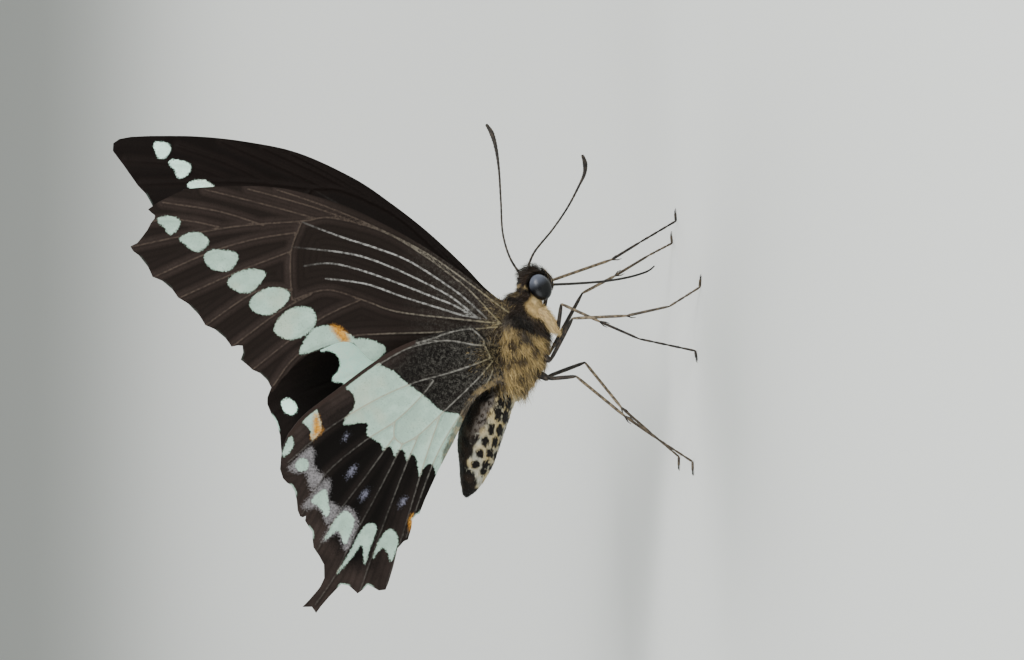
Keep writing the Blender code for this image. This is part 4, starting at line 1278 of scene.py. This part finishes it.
# %% [markdown]
# The hair of the chest runs on over the wing roots and along the inner edge of the rear wing,
# where it is short and lies flat. It could be painted on, but close to it shows as single
# hairs. So it grows from the wings' outer faces, where the wings leave the body.

# %% Hair on the wing roots
ROOT_REACH = 4.6
EDGE_REACH = 1.1
OUTER_SLOPE = 0.3


def make_root_keep(kind, side, hinge_place):
    """A rule that keeps hair near the hinge and, on a rear wing, along the inner edge."""
    inner_line = wing_place("rear", side, as_lines([HIND_INNER])[0], 0.0)

    def root_keep(points):
        """1 where hair grows on this wing."""
        keep = soft(ROOT_REACH - np.linalg.norm(points - hinge_place, axis=1), 0, 3.0)
        if kind == "rear":
            gaps = np.linalg.norm(points[:, None] - inner_line[None], axis=2).min(axis=1)
            on_edge = soft(EDGE_REACH - gaps, 0, 0.8) * soft(points[:, 0], -12.0, -7.0)
            keep = np.maximum(keep, on_edge)
        return keep

    return root_keep


for side in (RIGHT, LEFT):
    for kind, hinge in HINGES.items():
        hinge_place = np.array((hinge.x, side * hinge.y, hinge.z))
        wing_mesh = bpy.data.objects[f"{kind}_wing_{SIDE_NAMES[side]}"].data
        roots, normals = scatter(wing_mesh, 24.0, make_root_keep(kind, side, hinge_place))
        outer = normals[:, 1] * side > OUTER_SLOPE
        roots, normals = roots[outer], normals[outer]
        lie = unit(roots - hinge_place) + np.array((-0.4, 0.0, 0.1))
        sizes = measures(len(roots), (0.35, 0.9), (0.018, 0.035))
        pick = rng.random((len(roots), 1))
        tints = np.where(pick < 0.3, GOLD * 0.8, np.where(pick < 0.7, ASH * 3.0, BROWN))
        show(grow_coat(f"{kind}_root_{SIDE_NAMES[side]}", roots, normals, lie, sizes, 0.16,
                       tints=tints), "thorax")

# %% [markdown]
# The eyes are smooth domes of fine facets: dark, with a painted blue-grey reflection of the
# sky on top. The clear outer layer is glossy, over the faint grid of the facets.

# %% Eyes
EYE_RADII = Vector((1.6, 1.0, 1.26))
EYE_TURN = math.radians(-28.0)
EYE_UP = Vector((0.86, 0.0, 0.5))
EYE_MIDDLE = place(EYE_CENTRE).dot(EYE_UP)
# How far up the painted sky reflection fades in, and the colours of the dark eye and of the painted
# reflection.
REFLECTION_RISE = 1.7
EYE_DARK, EYE_SKY_REFLECTION = (0.003, 0.003, 0.0036), (0.115, 0.125, 0.16)
FACET_SCALE, FACET_DEPTH = 26000.0, 0.00001

eye_material, eye_tree, eye_principled = new_material("eye_gloss")
eye_place = eye_tree.nodes.new("ShaderNodeTexCoord").outputs["Object"]
eye_height = eye_tree.nodes.new("ShaderNodeVectorMath")
eye_height.operation = "DOT_PRODUCT"
eye_tree.links.new(eye_place, eye_height.inputs[0])
eye_height.inputs[1].default_value = EYE_UP
# Painted reflection: the colour turns blue-grey towards the top of each eye, where the eye would
# mirror the sky.
painted_reflection = ramp(eye_tree, eye_height.outputs["Value"], EYE_MIDDLE, EYE_MIDDLE + REFLECTION_RISE * MM)
set_surface(eye_tree, eye_principled, mix(eye_tree, painted_reflection, EYE_DARK, EYE_SKY_REFLECTION), 0.27, 0.22)
facets = eye_tree.nodes.new("ShaderNodeTexVoronoi")
facets.inputs["Scale"].default_value = FACET_SCALE
eye_tree.links.new(eye_place, facets.inputs["Vector"])
bump(eye_tree, eye_principled, facets.outputs["Distance"], FACET_DEPTH, 0.5)
for side in (RIGHT, LEFT):
    ball = bmesh.new()
    centre = place((EYE_CENTRE.x, side * EYE_CENTRE.y, EYE_CENTRE.z))
    matrix = (Matrix.Translation(centre) @ Matrix.Rotation(EYE_TURN, 4, "Y")
              @ Matrix.Diagonal((*(EYE_RADII * MM), 1)))
    bmesh.ops.create_uvsphere(ball, u_segments=64, v_segments=40, radius=1.0, matrix=matrix)
    eye_mesh = to_mesh("eye", ball)
    eye_mesh.shade_smooth()
    eye_mesh.materials.append(eye_material)
    node = f"eye_{SIDE_NAMES[side]}"
    show(add_object(node + "_gloss", eye_mesh), "eye", node)

# %% [markdown]
# Legs, feelers and the tongue are drawn as curves with a thickness at every point. A leg has
# a hairy hip, a dark thigh, a paler shin with two spurs, and a foot of five short joints
# that ends in small claws. The last joint lies flat on the floor.

# %% Materials of the limbs
LIMB_GLOSS = 0.3
HORN_GRAIN = 0.00004
LIMB_LOOKS = {
    "horn_dark": ((0.006, 0.0045, 0.0035), (0.045, 0.032, 0.022), 0.6),
    "horn_pale": ((0.05, 0.036, 0.022), (0.2, 0.15, 0.09), 0.45),
    "horn_cream": ((0.36, 0.25, 0.12), (0.52, 0.38, 0.2), 0.8),
    "horn_black": ((0.008, 0.007, 0.006), (0.02, 0.016, 0.012), 0.3),
    "horn_tan": ((0.03, 0.021, 0.013), (0.1, 0.072, 0.042), 0.45),
}
DARK, SHIN, CREAM_PART, SHINY, TAN = range(len(LIMB_LOOKS))
TUBE_ROUNDING = 3
END_FULLNESS = 0.65


def limb_material(name, colour, light, roughness):
    """Horn with lighter streaks and a fine grain."""
    material, tree, principled = new_material(name)
    streaks = patchy(tree, 2600.0, 3.0, 0.4, 0.68)
    set_surface(tree, principled, mix(tree, streaks, colour, light), roughness, LIMB_GLOSS)
    bump(tree, principled, noise(tree, 9000.0, 2.0), HORN_GRAIN)
    return material


LIMB_MATERIALS = [limb_material(name, *look) for name, look in LIMB_LOOKS.items()]
print("limb materials:", [material.name for material in LIMB_MATERIALS])


def limb(name, parts):
    """A limb of several parts, each one a path, its radii and the number of its material."""
    curve = bpy.data.curves.new(name, "CURVE")
    curve.dimensions = "3D"
    curve.bevel_depth = MM
    curve.bevel_resolution = TUBE_ROUNDING
    curve.use_fill_caps = True
    for material in LIMB_MATERIALS:
        curve.materials.append(material)
    for path, radii, number in parts:
        spline = curve.splines.new("POLY")
        spline.points.add(len(path) - 1)
        for point, spot, radius in zip(spline.points, path, radii):
            point.co = (*place(spot), 1.0)
            point.radius = radius
        spline.material_index = number
        spline.use_smooth = True
    item = add_object(name, curve)
    mesh = evaluated(item)
    bpy.data.objects.remove(item)
    return add_object(name, mesh)


def segment(start, end, radii, number, steps=8):
    """One joint of a limb with its radii at the start, middle and end, rounded at both ends."""
    start, end = Vector(start), Vector(end)
    shares = [step / steps for step in range(steps + 1)]
    thick_start, thick_middle, thick_end = radii
    swell = thick_middle - (thick_start + thick_end) / 2
    thick = []
    for share in shares:
        body = (1 - share) * thick_start + share * thick_end + swell * math.sin(math.pi * share)
        thick.append(body * min(1.0, END_FULLNESS + 5 * share, END_FULLNESS + 5 * (1 - share)))
    return [start.lerp(end, share) for share in shares], thick, number


# %% [markdown]
# A leg is drawn by six joints: the hip, the start of the thigh, the knee, the end of the shin,
# the heel and the toe. Only the last joint is led to the floor, so that the leg keeps the bend
# it has in life. Short bristles cover it, and the front hips wear a cream brush of hair.

# %% Legs
LEG_JOINTS = {
    ("foreleg", RIGHT): [
        (6.6, -1.3, 17.8), (4.0, -2.2, 15.7), (7.3, -3.2, 15.4), (5.2, -4.6, 11.0),
        (3.2, -6.0, 6.6), (1.8, -7.2, 0.3)],
    ("foreleg", LEFT): [
        (6.6, 1.3, 17.8), (6.2, 2.6, 16.7), (10.0, 3.2, 15.9), (12.6, 4.4, 8.2), (14.7, 5.5, 4.6),
        (17.2, 6.8, 0.3)],
    ("midleg", RIGHT): [
        (1.8, -1.4, 18.2), (0.6, -2.4, 16.6), (5.6, -5.5, 14.4), (5.9, -7.6, 8.3),
        (7.0, -9.0, 3.5), (9.2, -10.2, 0.3)],
    ("midleg", LEFT): [
        (1.8, 1.4, 18.2), (1.6, 2.4, 15.9), (8.6, 5.5, 11.6), (10.7, 7.0, 7.4), (13.2, 8.6, 3.0),
        (14.6, 9.6, 0.3)],
    ("hindleg", RIGHT): [
        (-0.6, -1.2, 18.6), (-1.5, -1.9, 16.7), (-1.2, -3.6, 13.7), (-5.9, -4.3, 8.0),
        (-8.5, -4.8, 4.3), (-11.2, -5.2, 0.3)],
    ("hindleg", LEFT): [
        (-0.6, 1.2, 18.6), (-1.3, 1.9, 16.4), (0.4, 3.4, 11.6), (-5.0, 4.0, 7.1), (-8.1, 4.3, 3.4),
        (-10.8, 4.6, 0.3)],
}
TIP_LENGTH = 1.1
FOOT_RADIUS = 0.15
TOE_JOINTS = 4
FRONT_HIP, OTHER_HIP = (0.8, 0.8, 0.4), (0.4, 0.45, 0.4)
THIGH = (0.22, 0.25, 0.19)
SHIN_RADII = (0.19, 0.18, 0.18)
HEEL = (0.17, 0.16, 0.14)
TOE = (0.14, 0.13, 0.16)
TIP = (0.15, 0.15, 0.15)
SPUR_RADII = (0.1, 0.07, 0.03)
SPUR_SPREAD = 0.35
CLAW_RADII = (0.09, 0.06, 0.025)


def spur(knee, ankle, spread):
    """A thorn at the end of the shin, set off to one side."""
    heading = (ankle - knee).normalized()
    across = heading.orthogonal().normalized() * spread
    path = [ankle - heading * 0.1, ankle + heading * 0.6 + across, ankle + heading * 1.1 + across]
    return path, SPUR_RADII, DARK


def claw(tip, forward, across):
    """A small hook at the end of the foot."""
    path = [tip - forward * 0.1, tip + forward * 0.3 + across * 0.22,
            tip + forward * 0.55 + across * 0.2 + Vector((0, 0, -0.08))]
    return path, CLAW_RADII, SHINY


def leg_parts(kind, joints):
    """All parts of a leg from the hip to the claws."""
    hip, trochanter, knee, ankle, heel, toe = vectors(joints)
    sole = Vector((toe.x, toe.y, FOOT_RADIUS))
    forward = sole - heel
    forward.z = 0
    forward.normalize()
    fore = kind == "foreleg"
    foot = DARK if fore else TAN
    hip_part = (FRONT_HIP, CREAM_PART) if fore else (OTHER_HIP, DARK)
    parts = [segment(hip, trochanter, *hip_part), segment(trochanter, knee, THIGH, DARK),
             segment(knee, ankle, SHIN_RADII, SHIN)]
    parts += [spur(knee, ankle, spread) for spread in (-SPUR_SPREAD, SPUR_SPREAD)]
    parts.append(segment(ankle, heel, HEEL, foot))
    ends = [heel.lerp(sole, number / TOE_JOINTS) for number in range(TOE_JOINTS + 1)]
    parts += [segment(start, end, TOE, foot, 4) for start, end in zip(ends, ends[1:])]
    tip = sole + forward * TIP_LENGTH
    parts.append(segment(sole, tip, TIP, foot, 6))
    across = forward.cross(Vector((0, 0, 1)))
    return parts + [claw(tip, forward, across * turn) for turn in (-1, 1)]


def above_floor(points):
    """1 on the leg, fading to 0 on the foot."""
    return soft(points[:, 2], 0.8, 1.6)


def everywhere(points):
    """1 at every place."""
    return np.ones(len(points))


for (kind, side), joints in LEG_JOINTS.items():
    name = f"{kind}_{SIDE_NAMES[side]}"
    hip, trochanter, knee = (np.array(joint) for joint in joints[:3])
    parts = leg_parts(kind, joints)
    leg = limb(name + "_horn", parts)
    show(leg, "horn", name)
    roots, normals = scatter(leg.data, 3.0, above_floor)
    down = np.where(roots[:, 2:] < knee[2], (0.0, 0.0, -1.0), knee - hip)
    sizes = measures(len(roots), (0.2, 0.4), (0.012, 0.02))
    show(grow_coat(name + "_coat", roots, normals, down, sizes, 0.4, tints=BROWN), "horn")
    if kind == "foreleg":
        core = limb("core", parts[:1])
        roots, normals = scatter(core.data, 40.0, everywhere)
        bpy.data.objects.remove(core)
        tints = np.where(rng.random((len(roots), 1)) < 0.6, CREAM * 1.1, HONEY * 1.1)
        sizes = measures(len(roots), (0.5, 0.95), (0.025, 0.05))
        show(grow_coat(name + "_hip_coat", roots, normals, trochanter - hip, sizes, 0.6,
                       tints=tints), "horn")

# %% [markdown]
# A feeler is a fine ringed whip that ends in a slender upturned club. The tongue is uncoiled
# and hangs straight down, as it does when the butterfly drinks. The two palps below the face
# are short brushes, so each one gets a coat of its own.

# %% Feelers, tongue and palps
ANTENNAE = {
    RIGHT: [
        (10.9, -0.7, 19.2), (13.3, -1.5, 18.4), (16.0, -2.8, 16.4), (18.6, -4.2, 14.8),
        (21.2, -5.5, 13.6), (22.5, -6.1, 13.1), (23.7, -6.6, 13.1), (24.7, -7.0, 13.5)],
    LEFT: [
        (10.4, 0.7, 19.4), (12.7, 1.5, 20.8), (15.7, 2.8, 21.5), (19.4, 4.4, 21.5),
        (23.1, 6.0, 21.5), (25.8, 7.2, 21.7), (27.6, 8.0, 22.1), (28.7, 8.5, 22.7)],
}
ANTENNA_RADII = [0.17, 0.13, 0.12, 0.12, 0.14, 0.22, 0.3, 0.16]
PALP = [(8.3, 0.6, 16.8), (9.3, 0.75, 16.25), (10.3, 0.75, 16.35), (11.2, 0.7, 17.0)]
PALP_RADII = [0.2, 0.28, 0.25, 0.08]
PROBOSCIS = [
    (9.7, 0.0, 17.4), (9.6, 0.0, 15.6), (9.9, 0.0, 10.6), (10.4, 0.0, 7.2), (11.1, 0.0, 4.8),
    (11.8, 0.0, 3.8)]
PROBOSCIS_RADII = [0.22, 0.17, 0.15, 0.14, 0.13, 0.08]
RING_STEP = 10
RING_RELIEF = 0.08
PALP_STEP = 6


def spread_out(values, steps):
    """Values in between, to match the points of smooth_path."""
    places = np.linspace(0, len(values) - 1, (len(values) - 1) * steps + 1)
    return list(np.interp(places, range(len(values)), values))


ringed = [radius * (1 + RING_RELIEF if index % 2 else 1 - RING_RELIEF)
          for index, radius in enumerate(spread_out(ANTENNA_RADII, RING_STEP))]
ringed[-1] *= 0.4
for side in (RIGHT, LEFT):
    name = f"antenna_{SIDE_NAMES[side]}"
    feeler = limb(name + "_horn", [(smooth_path(ANTENNAE[side], RING_STEP), ringed, DARK)])
    show(feeler, "horn", name)
    name = f"palp_{SIDE_NAMES[side]}"
    path = smooth_path([(x, side * y, z) for x, y, z in PALP], PALP_STEP)
    palp = limb(name + "_core", [(path, spread_out(PALP_RADII, PALP_STEP), DARK)])
    show(palp, "head", name)
    roots, normals = scatter(palp.data, 60.0, everywhere)
    sizes = measures(len(roots), (0.3, 0.5), (0.03, 0.05))
    pick = rng.random((len(roots), 1))
    tints = np.where(pick < 0.25, CREAM * 0.7, np.where(pick < 0.5, ASH * 3.0, BROWN))
    brush = grow_coat(name + "_coat", roots, normals, (0.9, 0.0, 0.2), sizes, 0.5, tints=tints)
    show(brush, "head", name)

path = smooth_path(PROBOSCIS, RING_STEP)
tongue = limb("tongue", [(path, spread_out(PROBOSCIS_RADII, RING_STEP), SHINY)])
show(tongue, "horn", "proboscis")

# %% [markdown]
# The floor is one large pale plane. Three broad, soft lamps light the animal as an overcast
# sky would. The camera looks at its right side from a little above and is turned on its side,
# so the head points up in the picture as it does in the photograph.

# %% Floor, light and camera
PIXELS_WIDE = 1024
PIXELS_HIGH = 660
PIXELS_PER_MM = 8.5
CAMERA_DISTANCE = 800.0
CAMERA_RISE = math.radians(8.0)
FLOOR_PIXEL = 687.0
ORIGIN_PIXEL = 366.0
SENSOR = 36.0
NEAREST, FARTHEST = 0.05, 50.0
FLOOR_SIZE = 6.0
FLOOR_PAINT = (0.72, 0.74, 0.71)
LAMP_TARGET = (0, 0, 30)
SKY = (0.9, 0.93, 0.9, 1.0)
SKY_STRENGTH = 0.45

floor_shape = bmesh.new()
bmesh.ops.create_grid(floor_shape, x_segments=1, y_segments=1, size=FLOOR_SIZE)
floor = add_object("floor", to_mesh("floor", floor_shape))
floor_material, floor_tree, floor_principled = new_material("floor_paint")
set_surface(floor_tree, floor_principled, FLOOR_PAINT, 0.8)
floor.data.materials.append(floor_material)
floor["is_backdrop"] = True

view = Vector((0, math.cos(CAMERA_RISE), -math.sin(CAMERA_RISE)))
picture_up = Vector((1, 0, 0))
target = Vector(((ORIGIN_PIXEL - PIXELS_HIGH / 2) / PIXELS_PER_MM, 0,
                 (FLOOR_PIXEL - PIXELS_WIDE / 2) / PIXELS_PER_MM / math.cos(CAMERA_RISE)))
camera_data = bpy.data.cameras.new("camera")
camera_data.sensor_width = SENSOR
camera_data.lens = SENSOR * CAMERA_DISTANCE * PIXELS_PER_MM / PIXELS_WIDE
camera_data.clip_start = NEAREST
camera_data.clip_end = FARTHEST
camera = add_object("camera", camera_data)
turn = Matrix((view.cross(picture_up), picture_up, -view)).transposed().to_4x4()
camera.matrix_world = Matrix.Translation(place(target - view * CAMERA_DISTANCE)) @ turn
bpy.context.scene.camera = camera


def add_lamp(name, position, power, size, colour=(1.0, 1.0, 1.0)):
    """A square soft lamp that points at the middle of the animal."""
    data = bpy.data.lights.new(name, "AREA")
    data.energy = power
    data.size = size
    data.color = colour
    lamp = add_object(name, data)
    lamp.location = position
    aim = place(LAMP_TARGET) - lamp.location
    lamp.rotation_euler = aim.to_track_quat("-Z", "Y").to_euler()


add_lamp("key_lamp", (0.35, -0.55, 0.5), 7.5, 0.35)
add_lamp("fill_lamp", (-0.5, -0.45, 0.3), 3.0, 0.5, (0.95, 0.98, 1.0))
add_lamp("back_lamp", (0.1, 0.5, 0.55), 3.5, 0.5)
world = bpy.data.worlds.new("studio")
world.use_nodes = True
world.node_tree.nodes["Background"].inputs["Color"].default_value = SKY
world.node_tree.nodes["Background"].inputs["Strength"].default_value = SKY_STRENGTH
bpy.context.scene.world = world
print("camera at", [round(part, 3) for part in camera.location])

# %% [markdown]
# A model made from a photograph is only as true as its measures. The box of the imported solids
# and the box of the finished pieces are set side by side, so they can be compared, and the size
# of the finished box is printed.

# %% The two boxes side by side
new_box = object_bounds()
sizes = {"cad": [list(corner) for corner in cad_box],
         "visual": [list(corner) for corner in new_box]}
print("visual box in mm:", [round(side * 1000, 1) for side in new_box[1] - new_box[0]])
